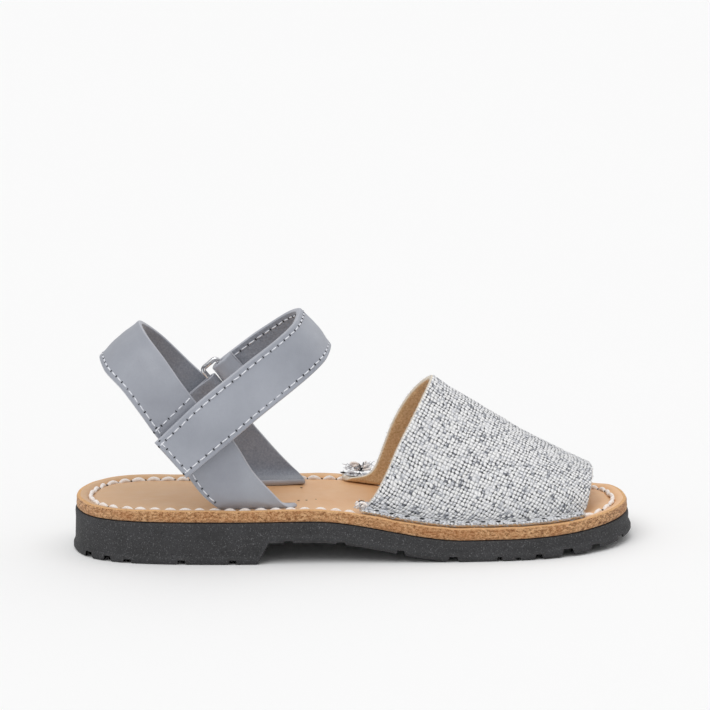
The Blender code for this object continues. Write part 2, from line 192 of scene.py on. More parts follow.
# Light
WORLD_POWER = 0.60
KEY_POWER = 1.15
REAR_POWER = 0.5

# Inner layers of the strap's and the tab's folds: share of the way back, share of the closing
STRAP_RETURN = ((0.40, 0.7), (0.75, 1.0), (1.00, 1.0))
TAB_UNDER = (1.0, 0.5, 0.2)
TAB_RETURN = ((0.25, 0.6), (0.45, 1.0), (0.70, 1.0), (0.95, 1.0))

# Camera: turn, elevation and roll in degrees, distance, scale and place of the origin in the 710 px frame
CAMERA = {"turn": 1.5, "elevation": 13.5, "roll": 0.8, "distance": 2.5, "px_per_m": 2905.0}
FRAME_PX = 710.0
ORIGIN_PX = (352.5, 540.0)


def curve_value(xs, ys, x):
    """Smooth curve through the points (xs, ys) at each x, without overshoot."""
    xs = np.asarray(xs, float)
    ys = np.asarray(ys, float)
    x = np.clip(np.asarray(x, float), xs[0], xs[-1])
    k = np.clip(np.searchsorted(xs, x, side="left") - 1, 0, len(xs) - 2)
    steps = np.diff(ys) / np.diff(xs)
    slope = np.empty(len(xs))
    slope[0] = steps[0]
    slope[-1] = steps[-1]
    before = steps[:-1]
    after = steps[1:]
    total = np.where(np.abs(before + after) < 1e-12, 1.0, before + after)
    slope[1:-1] = np.where(before * after <= 0, 0.0, 2 * before * after / total)
    h = xs[k + 1] - xs[k]
    t = (x - xs[k]) / h
    return ((2 * t ** 3 - 3 * t ** 2 + 1) * ys[k] + (t ** 3 - 2 * t ** 2 + t) * h * slope[k]
            + (3 * t ** 2 - 2 * t ** 3) * ys[k + 1] + (t ** 3 - t ** 2) * h * slope[k + 1])


def smoothstep(low, high, x):
    t = np.clip((np.asarray(x, float) - low) / (high - low), 0, 1)
    return t * t * (3 - 2 * t)


PLAN_ANGLES = np.arccos(1 - 2 * PLAN[:, 0])
PLAN_MIDDLE = (PLAN[:, 2].max() - PLAN[:, 1].max()) / 2


def edge_y(along, side):
    """Y of the sole's edge at a share of its length; side is outer or inner."""
    angle = np.arccos(1 - 2 * np.clip(along, 0, 1))
    half = curve_value(PLAN_ANGLES, PLAN[:, 1 if side == "outer" else 2], angle)
    return ((-1 if side == "outer" else 1) * half - PLAN_MIDDLE) * WIDTH


def toe_rise(along):
    past = np.maximum(along - SPRING_START, 0) / (1 - SPRING_START)
    return TOE_SPRING * past ** 2


def rubber_top(along):
    drop = (HEEL_RUBBER - FORE_RUBBER) * smoothstep(DROP[0], DROP[1], along)
    return HEEL_RUBBER - drop + toe_rise(along)


def rubber_bottom(along):
    return np.where(along <= HEEL_FRONT, 0.0, rubber_top(along) - FORE_RUBBER)


def insole_top(along):
    return rubber_top(along) + SEAT + INSOLE_THICK - RIM_RAISE


def share_of(x):
    return (x + HALF) / LENGTH


def wave(points, size, seed):
    """Soft repeatable unevenness from a few sines, between about -1 and 1; size is the length of a wave."""
    rng = np.random.default_rng(seed)
    total = np.zeros(points.shape[:-1])
    for _ in range(5):
        direction = rng.normal(size=3)
        direction /= np.linalg.norm(direction)
        phase = rng.uniform(0, 2 * math.pi)
        stretch = rng.uniform(0.7, 1.4)
        total += np.sin(points @ direction * (2 * math.pi * stretch / size) + phase)
    return total / 3


# Meshes

def new_object(name, verts, faces, materials, face_slots=None, uv=None):
    mesh = bpy.data.meshes.new(name)
    mesh.from_pydata([tuple(v) for v in verts], [], [tuple(f) for f in faces])
    for made in materials:
        mesh.materials.append(made)
    if face_slots is not None:
        mesh.polygons.foreach_set("material_index", np.asarray(face_slots, np.int32))
    if uv is not None:
        layer = mesh.uv_layers.new(name="cloth")
        loops = np.empty(len(mesh.loops), np.int32)
        mesh.loops.foreach_get("vertex_index", loops)
        layer.data.foreach_set("uv", np.asarray(uv, np.float32)[loops].ravel())
    mesh.validate()
    mesh.shade_smooth()
    obj = bpy.data.objects.new(name, mesh)
    bpy.context.scene.collection.objects.link(obj)
    return obj


def run_lengths(points):
    """Distance of each point along its line."""
    return np.concatenate(([0], np.cumsum(np.linalg.norm(np.diff(points, axis=0), axis=1))))


def read_line(at, where, points):
    """Places at given distances along a line of points."""
    return np.stack([np.interp(at, where, points[:, c]) for c in range(points.shape[1])], axis=-1)


def grid_lengths(grid):
    """Distances of each grid point from the first row and from the first column."""
    down = np.cumsum(np.linalg.norm(np.diff(grid, axis=0), axis=2), axis=0)
    over = np.cumsum(np.linalg.norm(np.diff(grid, axis=1), axis=2), axis=1)
    u = np.concatenate((np.zeros((1, grid.shape[1])), down))
    v = np.concatenate((np.zeros((len(grid), 1)), over), axis=1)
    return u, v


def unit(vectors):
    """Vectors of length 1 along the last axis."""
    return vectors / np.linalg.norm(vectors, axis=-1, keepdims=True)


def grid_normals(grid):
    du = np.gradient(grid, axis=0)
    dv = np.gradient(grid, axis=1)
    normal = np.cross(du, dv)
    return normal / (np.linalg.norm(normal, axis=2, keepdims=True) + 1e-12)


def rounded_shares(length, radius, inner):
    """Shares from 0 to 1 with extra ones near both ends, for a rounded edge."""
    near = np.array((0, 0.06, 0.2, 0.45, 0.75, 1.0)) * radius / length
    middle = np.linspace(near[-1], 1 - near[-1], inner + 2)[1:-1]
    return np.concatenate((near, middle, 1 - near[::-1]))


def rounded_wall(name, grid, thickness, radius, materials, lift=None, outer_face=1, side_radius=None):
    """Closed wall about a middle grid with rounded rims. Materials: outside, inside, rim.
    lift adds height to the outer face; outer_face is 1 where the grid's normals point outside, else -1."""
    n, m = grid.shape[:2]
    normal = grid_normals(grid) * outer_face
    u, v = grid_lengths(grid)
    from_ends = np.minimum(u, u[-1] - u) / radius
    from_sides = np.minimum(v, v[:, -1:] - v) / (side_radius or radius)
    t = np.clip(np.minimum(from_ends, from_sides), 0, 1)
    full = np.sqrt(np.clip(1 - (1 - t) ** 2, 0, 1)) * thickness / 2
    extra = np.zeros((n, m)) if lift is None else lift * smoothstep(0, 1, t)
    top = grid + normal * (full + extra)[..., None]
    low = grid - normal * full[..., None]
    index = np.arange(n * m).reshape(n, m)
    inside = np.zeros((n, m), bool)
    inside[1:-1, 1:-1] = True
    low_index = index.copy()
    low_index[inside] = n * m + np.arange(inside.sum())
    verts = np.concatenate((top.reshape(-1, 3), low[inside]))
    flat = np.stack((u, v - v[:, m // 2][:, None]), axis=-1)
    uv = np.concatenate((flat.reshape(-1, 2), flat[inside]))
    a, b, c, d = index[:-1, :-1], index[1:, :-1], index[1:, 1:], index[:-1, 1:]
    upper = np.stack((a, b, c, d), axis=-1).reshape(-1, 4)
    a, b, c, d = low_index[:-1, :-1], low_index[:-1, 1:], low_index[1:, 1:], low_index[1:, :-1]
    lower = np.stack((a, b, c, d), axis=-1).reshape(-1, 4)
    if outer_face < 0:
        upper = upper[:, ::-1]
        lower = lower[:, ::-1]
    faces = np.concatenate((upper, lower))
    slots = np.concatenate((np.zeros(len(upper), int), np.ones(len(lower), int)))
    # The third material colours the rims: the cloth's cut edge, and painted highlight on the leather.
    if len(materials) > 2:
        rim = from_ends if side_radius else t
        corners = (rim[:-1, :-1], rim[1:, 1:], rim[1:, :-1], rim[:-1, 1:])
        cell = np.minimum.reduce(corners).reshape(-1)
        slots[np.concatenate((cell, cell)) < RIM_ZONE] = 2
    if len(materials) == 1:
        slots[:] = 0
    return new_object(name, verts, faces, materials, slots, uv)


def tubes(name, paths, radii, materials, sides=8):
    """Many short round pieces in one mesh: a path is a line of points, a radius a list along it."""
    verts = []
    faces = []
    for path, radius in zip(paths, radii):
        path = np.asarray(path, float)
        tangent = np.gradient(path, axis=0)
        tangent /= np.linalg.norm(tangent, axis=1, keepdims=True) + 1e-12
        guide = np.array((0.0, 0.0, 1.0)) if abs(tangent[0][2]) < 0.9 else np.array((1.0, 0, 0))
        side = np.cross(tangent, guide)
        side /= np.linalg.norm(side, axis=1, keepdims=True) + 1e-12
        up = np.cross(side, tangent)
        start = len(verts)
        angles = np.arange(sides) * 2 * math.pi / sides
        for p, s, u, r in zip(path, side, up, radius):
            for angle in angles:
                verts.append(p + (s * math.cos(angle) + u * math.sin(angle)) * r)
        rings = len(path)
        for i in range(rings - 1):
            for k in range(sides):
                j = (k + 1) % sides
                low = start + i * sides
                high = low + sides
                faces.append((low + k, low + j, high + j, high + k))
        last = start + (rings - 1) * sides
        faces.append(tuple(start + k for k in reversed(range(sides))))
        faces.append(tuple(last + k for k in range(sides)))
    return new_object(name, verts, faces, materials)


# Materials

class Shader:
    """Short helpers round one material's node tree."""

    def __init__(self, name):
        self.material = bpy.data.materials.new(name)
        self.material.use_nodes = True
        self.tree = self.material.node_tree
        self.bsdf = self.tree.nodes["Principled BSDF"]

    def node(self, kind, **settings):
        made = self.tree.nodes.new(kind)
        for key, value in settings.items():
            setattr(made, key, value)
        return made

    def link(self, source, target):
        self.tree.links.new(source, target)

    def place(self):
        return self.node("ShaderNodeTexCoord").outputs["Object"]

    def cloth(self):
        return self.node("ShaderNodeUVMap", uv_map="cloth").outputs["UV"]

    def noise(self, where, scale, detail=3.0, rough=0.55, stretch=None):
        if stretch is not None:
            mapping = self.node("ShaderNodeMapping")
            mapping.inputs["Scale"].default_value = stretch
            self.link(where, mapping.inputs["Vector"])
            where = mapping.outputs["Vector"]
        made = self.node("ShaderNodeTexNoise")
        made.inputs["Scale"].default_value = scale
        made.inputs["Detail"].default_value = detail
        made.inputs["Roughness"].default_value = rough
        self.link(where, made.inputs["Vector"])
        return made.outputs["Fac"]

    def cells(self, where, scale):
        made = self.node("ShaderNodeTexVoronoi")
        made.inputs["Scale"].default_value = scale
        self.link(where, made.inputs["Vector"])
        return made.outputs["Distance"]

    def math(self, operation, a, b=None, clamp=False):
        made = self.node("ShaderNodeMath", operation=operation, use_clamp=clamp)
        for socket, value in zip(made.inputs, (a, b)):
            if value is None:
                continue
            if isinstance(value, (int, float)):
                socket.default_value = value
            else:
                self.link(value, socket)
        return made.outputs[0]

    def times(self, a, b):
        return self.math("MULTIPLY", a, b)

    def plus(self, a, b, clamp=False):
        return self.math("ADD", a, b, clamp)

    def minus(self, a, b):
        return self.math("SUBTRACT", a, b)

    def ramp(self, fac, stops):
        made = self.node("ShaderNodeValToRGB")
        band = made.color_ramp
        while len(band.elements) < len(stops):
            band.elements.new(0.5)
        for element, (at, color) in zip(band.elements, stops):
            element.position = at
            element.color = (*color, 1)
        self.link(fac, made.inputs["Fac"])
        return made.outputs["Color"]

    def mix(self, fac, a, b):
        made = self.node("ShaderNodeMix", data_type="RGBA")
        for socket, value in ((made.inputs[0], fac), (made.inputs[6], a), (made.inputs[7], b)):
            if isinstance(value, (int, float)):
                socket.default_value = value
            elif isinstance(value, tuple):
                socket.default_value = (*value, 1)
            else:
                self.link(value, socket)
        return made.outputs[2]

    def bump(self, *layers):
        """Layers of (height socket, distance in metres, strength), one over the other."""
        last = None
        for height, distance, strength in layers:
            made = self.node("ShaderNodeBump")
            made.inputs["Distance"].default_value = distance
            made.inputs["Strength"].default_value = strength
            self.link(height, made.inputs["Height"])
            if last is not None:
                self.link(last, made.inputs["Normal"])
            last = made.outputs["Normal"]
        self.link(last, self.bsdf.inputs["Normal"])

    def finish(self, color=None, roughness=None, **constants):
        if color is not None:
            self.link(color, self.bsdf.inputs["Base Color"])
        if isinstance(roughness, (int, float)):
            self.bsdf.inputs["Roughness"].default_value = roughness
        elif roughness is not None:
            self.link(roughness, self.bsdf.inputs["Roughness"])
        for key, value in constants.items():
            self.bsdf.inputs[key.replace("_", " ")].default_value = value
        return self.material


def srgb(r, g, b):
    """Linear colour from 0 to 255 display values."""
    return tuple(((v / 255 + 0.055) / 1.055) ** 2.4 if v > 10 else v / 255 / 12.92 for v in (r, g, b))


def grey_leather(name, light, dark):
    s = Shader(name)
    where = s.place()
    broad = s.noise(where, 60, 3, 0.5)
    fine = s.noise(where, 900, 4, 0.6)
    color = s.ramp(broad, ((0.3, dark), (0.7, light)))
    color = s.mix(s.times(fine, 0.22), color, tuple(c * 0.72 for c in dark))
    pores = s.cells(where, 2300)
    rough = s.plus(s.times(s.noise(where, 350, 2), 0.16), 0.38)
    s.bump((broad, 0.0006, 0.25), (fine, 0.00012, 0.5), (pores, 0.00008, 0.45))
    return s.finish(color, rough, Specular_IOR_Level=0.5, Coat_Weight=0.18, Coat_Roughness=0.3)


def suede_lining(name, color_a, color_b):
    s = Shader(name)
    where = s.place()
    nap = s.noise(where, 1400, 5, 0.7)
    broad = s.noise(where, 140, 3)
    color = s.ramp(nap, ((0.3, color_a), (0.72, color_b)))
    color = s.mix(s.times(broad, 0.3), color, tuple(c * 0.6 for c in color_a))
    s.bump((broad, 0.0005, 0.4), (nap, 0.00025, 0.7))
    return s.finish(color, 0.92, Sheen_Weight=0.35, Sheen_Roughness=0.5, Specular_IOR_Level=0.2)


def tan_leather():
    s = Shader("tan_insole_leather")
    where = s.place()
    broad = s.noise(where, 28, 3, 0.5)
    mottle = s.noise(where, 260, 4, 0.6)
    streak = s.noise(where, 90, 4, 0.65, stretch=(1.0, 5.0, 1.0))
    color = s.ramp(broad, ((0.3, srgb(226, 172, 122)), (0.72, srgb(242, 200, 154))))
    split = s.node("ShaderNodeSeparateXYZ")
    s.link(where, split.inputs[0])
    # Darker towards the heel, fading in from about 7 mm behind the middle of the sole.
    heel_darkening = s.times(s.plus(s.times(split.outputs[0], -14.0), -0.1, clamp=True), 0.8)
    color = s.mix(heel_darkening, color, srgb(196, 158, 120))
    color = s.mix(s.times(mottle, 0.28), color, srgb(206, 148, 92))
    color = s.mix(s.times(streak, 0.16), color, srgb(242, 208, 166))
    pores = s.cells(where, 1700)
    s.bump((streak, 0.0003, 0.25), (mottle, 0.0001, 0.4), (pores, 0.00007, 0.5))
    rough = s.plus(s.times(mottle, 0.2), 0.38)
    return s.finish(color, rough, Specular_IOR_Level=0.4, Coat_Weight=0.05, Coat_Roughness=0.4)


def raw_edge():
    s = Shader("raw_leather_edge")
    where = s.place()
    fibre = s.noise(where, 1150, 5, 0.8, stretch=(0.7, 0.7, 1.3))
    speck = s.noise(where, 2400, 4, 0.8)
    broad = s.noise(where, 120, 4, 0.6)
    color = s.ramp(fibre, ((0.36, srgb(96, 58, 32)), (0.47, srgb(184, 132, 86)), (0.60, srgb(240, 196, 148))))
    color = s.mix(s.ramp(broad, ((0.4, (0, 0, 0)), (0.66, (0.5, 0.5, 0.5)))), color, srgb(176, 108, 58))
    light = s.ramp(speck, ((0.56, (0, 0, 0)), (0.66, (0.7, 0.7, 0.7))))
    color = s.mix(light, color, srgb(240, 200, 152))
    dark = s.ramp(speck, ((0.34, (0.8, 0.8, 0.8)), (0.42, (0, 0, 0))))
    color = s.mix(dark, color, srgb(92, 54, 28))
    s.bump((fibre, 0.0006, 0.8), (speck, 0.0003, 0.8))
    return s.finish(color, 0.95, Sheen_Weight=0.2, Specular_IOR_Level=0.2)


def rubber():
    s = Shader("moulded_rubber")
    where = s.place()
    grain = s.noise(where, 1500, 5, 0.8)
    cloud = s.noise(where, 120, 3)
    speck = s.noise(where, 2300, 3, 0.6)
    color = s.ramp(cloud, ((0.3, srgb(52, 52, 53)), (0.7, srgb(62, 62, 64))))
    light = s.ramp(speck, ((0.57, (0, 0, 0)), (0.68, (0.75, 0.75, 0.75))))
    color = s.mix(light, color, srgb(118, 118, 120))
    dark = s.ramp(grain, ((0.36, (0.85, 0.85, 0.85)), (0.47, (0, 0, 0))))
    color = s.mix(dark, color, srgb(34, 34, 36))
    s.bump((cloud, 0.0004, 0.3), (grain, 0.0003, 0.7))
    return s.finish(color, 0.72, Specular_IOR_Level=0.35)


def linen(pitch):
    """Plain weave of mixed white and grey yarns, charted from the cloth's own lengths, with painted shade in
    the pits between the yarns.
    """
    s = Shader("woven_linen")
    uv = s.cloth()
    wobble = s.noise(s.place(), 260, 3, 0.6)
    split = s.node("ShaderNodeSeparateXYZ")
    s.link(uv, split.inputs[0])
    shift = s.times(s.minus(wobble, 0.5), 1.5)
    u = s.plus(s.math("DIVIDE", split.outputs[0], pitch), shift)
    v = s.plus(s.math("DIVIDE", split.outputs[1], pitch), s.times(shift, -0.8))
    fu = s.minus(s.math("FRACT", u), 0.5)
    fv = s.minus(s.math("FRACT", v), 0.5)
    iu = s.math("FLOOR", u)
    iv = s.math("FLOOR", v)
    odd = s.math("MODULO", s.math("ABSOLUTE", s.plus(iu, iv)), 2.0)
    ridge_u = s.math("COSINE", s.times(fu, math.pi))
    ridge_v = s.math("COSINE", s.times(fv, math.pi))

    def ridge(over, along):
        return s.times(s.math("POWER", over, 0.6), s.plus(s.times(along, 0.5), 0.5))

    def choose(a, b):
        return s.plus(s.times(a, s.minus(1.0, odd)), s.times(b, odd))

    height = choose(ridge(ridge_u, ridge_v), ridge(ridge_v, ridge_u))

    def yarn(line, along, seed):
        joined = s.node("ShaderNodeCombineXYZ")
        s.link(s.times(line, 3.71), joined.inputs[0])
        s.link(s.times(along, 0.55), joined.inputs[1])
        joined.inputs[2].default_value = seed
        return s.noise(joined.outputs[0], 1.0, 2.5, 0.7)

    tone = choose(yarn(iu, v, 3.0), yarn(iv, u, 17.0))
    color = s.ramp(tone, (
        (0.34, srgb(112, 115, 124)),
        (0.42, srgb(216, 218, 224)),
        (0.48, srgb(252, 252, 254)),
        (0.60, srgb(255, 255, 255)),
    ))
    fibre = s.noise(s.place(), 2600, 4, 0.75)
    color = s.mix(s.times(fibre, 0.06), color, srgb(150, 152, 160))
    # Painted shade: near-black in the low pits between the yarns, deeper at some crossings than at others.
    corner = s.node("ShaderNodeCombineXYZ")
    s.link(s.math("ROUND", u), corner.inputs[0])
    s.link(s.math("ROUND", v), corner.inputs[1])
    chance = s.node("ShaderNodeTexWhiteNoise", noise_dimensions="2D")
    s.link(corner.outputs[0], chance.inputs["Vector"])
    pit_shade_share = s.plus(s.times(chance.outputs["Value"], 1.15), 0.1, clamp=True)
    pit = s.ramp(height, ((0.34, (1, 1, 1)), (0.64, (0, 0, 0))))
    color = s.mix(s.times(pit, pit_shade_share), color, srgb(30, 32, 38))
    s.bump((height, 0.0005, 1.0), (fibre, 0.00015, 0.6))
    return s.finish(color, 0.9, Sheen_Weight=0.25, Sheen_Roughness=0.6, Specular_IOR_Level=0.2)


def thread(name, light, dark, scale):
    s = Shader(name)
    where = s.place()
    twist = s.noise(where, scale, 4, 0.7)
    color = s.ramp(twist, ((0.3, dark), (0.55, light)))
    s.bump((twist, 0.0002, 0.7))
    return s.finish(color, 0.7, Sheen_Weight=0.2, Specular_IOR_Level=0.3)


def plain_dark(name, color):
    s = Shader(name)
    grain = s.noise(s.place(), 1500, 3)
    tone = s.ramp(grain, ((0.3, tuple(c * 0.7 for c in color)), (0.7, color)))
    s.bump((grain, 0.0001, 0.4))
    return s.finish(tone, 0.85)


def steel():
    s = Shader("bright_wire")
    where = s.place()
    scratch = s.noise(where, 700, 3, 0.6, stretch=(1, 1, 4))
    rough = s.plus(s.times(scratch, 0.2), 0.14)
    color = s.ramp(scratch, ((0.3, (0.55, 0.56, 0.58)), (0.7, (0.78, 0.78, 0.80))))
    s.bump((scratch, 0.00003, 0.4))
    return s.finish(color, rough, Metallic=1.0)


def pile():
    s = Shader("hook_loop_pile")
    where = s.place()
    loops = s.cells(where, 1800)
    fuzz = s.noise(where, 1500, 4, 0.7)
    color = s.ramp(fuzz, ((0.3, srgb(92, 94, 102)), (0.7, srgb(158, 160, 168))))
    s.bump((loops, 0.0004, 0.9), (fuzz, 0.0002, 0.6))
    return s.finish(color, 0.95, Sheen_Weight=0.3)


M_LEATHER = grey_leather("slingback_leather", srgb(163, 167, 176), srgb(148, 151, 161))
M_STRAP = grey_leather("ankle_leather", srgb(170, 174, 184), srgb(154, 158, 168))
M_LEATHER_IN = suede_lining("strap_lining", srgb(124, 127, 136), srgb(158, 162, 172))
M_SUEDE = suede_lining("vamp_lining", srgb(192, 154, 108), srgb(255, 230, 188))
M_TAN = tan_leather()
M_EDGE = raw_edge()
M_RUBBER = rubber()
M_LINEN = linen(WEAVE)
M_THREAD = thread("strap_thread", srgb(240, 242, 248), srgb(196, 198, 206), 3000)
M_ROPE = thread("waxed_thread", srgb(255, 250, 246), srgb(232, 216, 206), 1800)
# Near-black: painted shade in the stitch holes and pinholes, painted shadow beside the vamp's stitches, and
# the dark loops of the seam-end knots.
M_SHADE_AND_DARK_THREAD = plain_dark("shade_and_dark_thread", srgb(40, 40, 44))
# Lighter grey on the rounded rims of the straps and the tab: painted highlight along their edges.
M_LEATHER_RIM_HIGHLIGHT = grey_leather("leather_rim_highlight", srgb(186, 188, 196), srgb(166, 169, 178))
M_CUT = plain_dark("cut_cloth_edge", srgb(236, 226, 210))
M_YARN = plain_dark("loose_yarn", srgb(222, 224, 230))
M_RIM = plain_dark("rim_leather", srgb(232, 182, 128))
M_STEEL = steel()
M_PILE = pile()


# Straps

def section_values(table, count):
    """The table read smoothly at count even steps from its first row to its last."""
    keys = np.arange(len(table))
    t = np.linspace(0, len(table) - 1, count)
    return np.stack([curve_value(keys, table[:, c], t) for c in range(table.shape[1])], axis=1)


def strap_grid(table, rise, count, shares, raise_by=0.0):
    values = section_values(table, count)
    base = insole_top(HEEL_FRONT) + SEAT
    s = np.asarray(shares)[None, :]
    x = (values[:, 0:1] * (1 - s) + values[:, 2:3] * s) * SOLE_LENGTH
    z = (values[:, 1:2] * (1 - s) + values[:, 3:4] * s) * rise + base + raise_by
    y = np.broadcast_to(values[:, 4:5] * SPREAD, x.shape)
    return np.stack((x, y, z), axis=-1)


def even_rows(grid, radius, spacing):
    """Rows of the grid placed again along its length, close together at both ends."""
    steps = np.linalg.norm(np.diff(grid, axis=0), axis=2).mean(axis=1)
    where = np.concatenate(([0], np.cumsum(steps)))
    shares = rounded_shares(where[-1], radius, int(where[-1] / spacing))
    moved = read_line(shares * where[-1], where, grid.reshape(len(grid), -1))
    return moved.reshape(len(shares), *grid.shape[1:])


def half_turn(radius):
    """Half turn of a strap round a bar: distance past the bar's centre and y from it."""
    angle = math.pi / 2 - math.pi * np.arange(TURN_STEPS + 1) / TURN_STEPS
    return list(zip(radius * np.cos(angle), radius * np.sin(angle)))


def ring_frame():
    """Centre of the ring's front bar, direction away from the strap, direction across it, half width."""
    last = strap_grid(ANKLE, ANKLE_RISE, 55, (0, 1))
    upper, lower = last[-1]
    across = (upper - lower) / np.linalg.norm(upper - lower)
    away = np.array((-across[2], 0, across[0]))
    if away @ (upper - last[-2][0]) < 0:
        away = -away
    bar = (upper + lower) / 2
    bar[1] -= ANKLE_WALL / 2 + SEAT + RING_WIRE
    return bar, away, across, np.linalg.norm(upper - lower) / 2


def line_on_wall(grid, share, thickness, face, start=0.0, end=1.0):
    """Points and outward normals along a wall's length at one share of its width, on one face."""
    s = np.broadcast_to(np.asarray(share, float), (len(grid),))
    cols = grid.shape[1] - 1
    width = grid_lengths(grid)[1]
    normal = grid_normals(grid)
    points = []
    normals = []
    rows = range(int(start * (len(grid) - 1)), int(end * (len(grid) - 1)) + 1)
    for i in rows:
        at = s[i] * width[i, -1]
        k = min(int(np.searchsorted(width[i], at, side="right")) - 1, cols - 1)
        f = (at - width[i, k]) / (width[i, k + 1] - width[i, k])
        n = normal[i, k] * (1 - f) + normal[i, k + 1] * f
        p = grid[i, k] * (1 - f) + grid[i, k + 1] * f
        points.append(p + n * face * thickness / 2)
        normals.append(n * face)
    return np.array(points), np.array(normals)


def inset_share(grid, inset):
    """Share of the wall's width that lies inset from its first edge, row by row."""
    return inset / np.linalg.norm(np.diff(grid, axis=1), axis=2).sum(axis=1)


def stitches(points, normals, pitch, length, radius, seed=1, sink=0.25, jitter=0.06):
    """Thread paths and radii, and hole places, for a row of stitches along a line on a surface."""
    rng = np.random.default_rng(seed)
    where = run_lengths(points)
    count = max(int(where[-1] / pitch), 1)
    step = where[-1] / count
    paths = []
    radii = []
    holes = []
    for n in range(count):
        middle = (n + 0.5) * step + rng.normal() * step * jitter * 0.4
        half = length / 2 * (1 + rng.normal() * jitter)
        at = np.linspace(middle - half, middle + half, 7)
        path = read_line(at, where, points)
        out = unit(read_line(at, where, normals))
        aside = unit(np.cross(out, np.gradient(path, axis=0)))
        bow = np.array((-1.0, -0.1, 0.35, 0.5, 0.35, -0.1, -1.0)) * radius
        bow[[0, -1]] = -sink * MM - radius
        skew = rng.normal() * jitter * radius * 6
        paths.append(path + out * bow[:, None] + aside * (np.linspace(-1, 1, 7) * skew)[:, None])
        radii.append(radius * np.array((0.6, 0.88, 1.0, 1.04, 1.0, 0.88, 0.6)))
        spot = read_line(n * step, where, points)
        lean = unit(read_line(n * step, where, normals))
        holes.append((spot, lean, aside[0]))
    return paths, radii, holes


def hole_slits(name, holes, half, radius, lift=0.04):
    """Dark slits that the thread goes down through, across the row: painted shade of the needle holes."""
    paths = []
    for spot, out, aside in holes:
        base = spot + out * lift * MM
        paths.append(np.array([base + aside * half * share * MM for share in (-1, -0.4, 0.4, 1)]))
    radii = [np.array((0.5, 1.0, 1.0, 0.5)) * radius * MM] * len(paths)
    return tubes(name, paths, radii, [M_SHADE_AND_DARK_THREAD], 6)


def hole_dots(name, holes, radius, materials):
    """Small dark round pits drawn as flat domes that lie in the surface: painted shade of the pits."""
    verts = []
    faces = []
    for spot, out in holes:
        out = out / np.linalg.norm(out)
        side = np.cross(out, (0.3, 0.5, 0.81))
        side /= np.linalg.norm(side)
        up = np.cross(out, side)
        start = len(verts)
        for ring_radius, lift in ((1.0, -0.02), (0.55, 0.045)):
            for k in range(8):
                angle = k * math.pi / 4
                aside = side * math.cos(angle) + up * math.sin(angle)
                verts.append(spot + aside * radius * ring_radius + out * lift * MM)
        for k in range(8):
            j = (k + 1) % 8
            faces.append((start + k, start + j, start + 8 + j, start + 8 + k))
        faces.append(tuple(start + 8 + k for k in range(8)))
    return new_object(name, verts, faces, materials)


def ride_all(objects, *nodes, finish):
    """Each object rides on the body; the first one stands for the nodes."""
    for n, obj in enumerate(objects):
        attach(obj, BODY)
        if n == 0 and nodes:
            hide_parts(*nodes)


# Sole

def plan_ring(inset, stations):
    """Points of the sole's plan, outer side heel to toe and inner side back, moved inwards by inset."""
    inner = stations[1:-1][::-1]
    shares = np.concatenate((stations, inner))
    x = -HALF + LENGTH * shares
    y = np.concatenate((edge_y(stations, "outer"), edge_y(inner, "inner")))
    line = np.stack((x, y), axis=1)
    along = np.roll(line, -1, axis=0) - np.roll(line, 1, axis=0)
    along /= np.linalg.norm(along, axis=1, keepdims=True)
    return line + np.stack((-along[:, 1], along[:, 0]), axis=1) * inset, shares


def ring_solid(name, levels, stations, across, materials, level_slots, top_detail=None):
    """Closed solid from rings of the plan, with a grid across its top and bottom."""
    count = len(stations) * 2 - 2
    rings = []
    for inset, height in levels:
        flat, shares = plan_ring(inset, stations)
        rings.append(np.column_stack((flat, height(shares))))
    verts = list(rings)
    faces = []
    slots = []
    for level in range(len(rings) - 1):
        low = level * count
        high = low + count
        for i in range(count):
            j = (i + 1) % count
            faces.append((low + i, low + j, high + j, high + i))
            slots.append(level_slots[level])
    total = len(rings) * count
    last = len(stations) - 1
    for which in (0, len(rings) - 1):
        ring = rings[which]
        grid_index = np.zeros((len(stations), across + 1), int)
        added = []
        for k in range(len(stations)):
            outer = k
            inner = (count - k) % count
            grid_index[k, :] = which * count + outer
            if k in (0, last):
                continue
            grid_index[k, across] = which * count + inner
            for a in range(1, across):
                s = a / across
                grid_index[k, a] = total + len(added)
                added.append(ring[outer] * (1 - s) + ring[inner] * s)
        for k in range(last):
            for a in range(across):
                here = grid_index[k:k + 2, a:a + 2]
                unique = list(dict.fromkeys((here[0, 0], here[1, 0], here[1, 1], here[0, 1])))
                if len(unique) < 3:
                    continue
                faces.append(tuple(unique if which else unique[::-1]))
                slots.append(level_slots[-1] if which else level_slots[0])
        verts.append(np.array(added))
        total += len(added)
    points = np.concatenate(verts)
    if top_detail is not None:
        points[:, 2] += top_detail(points)
    return new_object(name, points, faces, materials, slots)


def sole_stations(count):
    """Shares of the length, close together at both ends, with the heel block's front face as two of them."""
    shares = (1 - np.cos(math.pi * np.arange(count + 1) / count)) / 2
    back = HEEL_FRONT + HEEL_SLOPE / SOLE_LENGTH
    clear = 0.006
    shares = shares[(shares < HEEL_FRONT - clear) | (shares > back + clear)]
    extra = [HEEL_FRONT - 0.004, HEEL_FRONT, back, back + 0.005]
    return np.array(sorted([*shares, *extra]))


# Tread: share of the length at the outer side, width and depth in mm
TREAD = (
    (0.018, 2.2, 2.2),
    (0.056, 2.4, 2.0),
    (0.091, 2.6, 1.4),
    (0.189, 2.8, 1.6),
    (0.281, 2.6, 1.6),
    (0.381, 3.0, 1.0),
    (0.474, 3.0, 1.0),
    (0.580, 2.6, 1.6),
    (0.674, 3.2, 1.8),
    (0.757, 1.8, 1.6),
    (0.790, 1.8, 1.2),
    (0.828, 2.4, 1.8),
    (0.882, 3.6, 2.4),
    (0.936, 3.2, 1.8),
    (0.985, 2.4, 1.4),
)


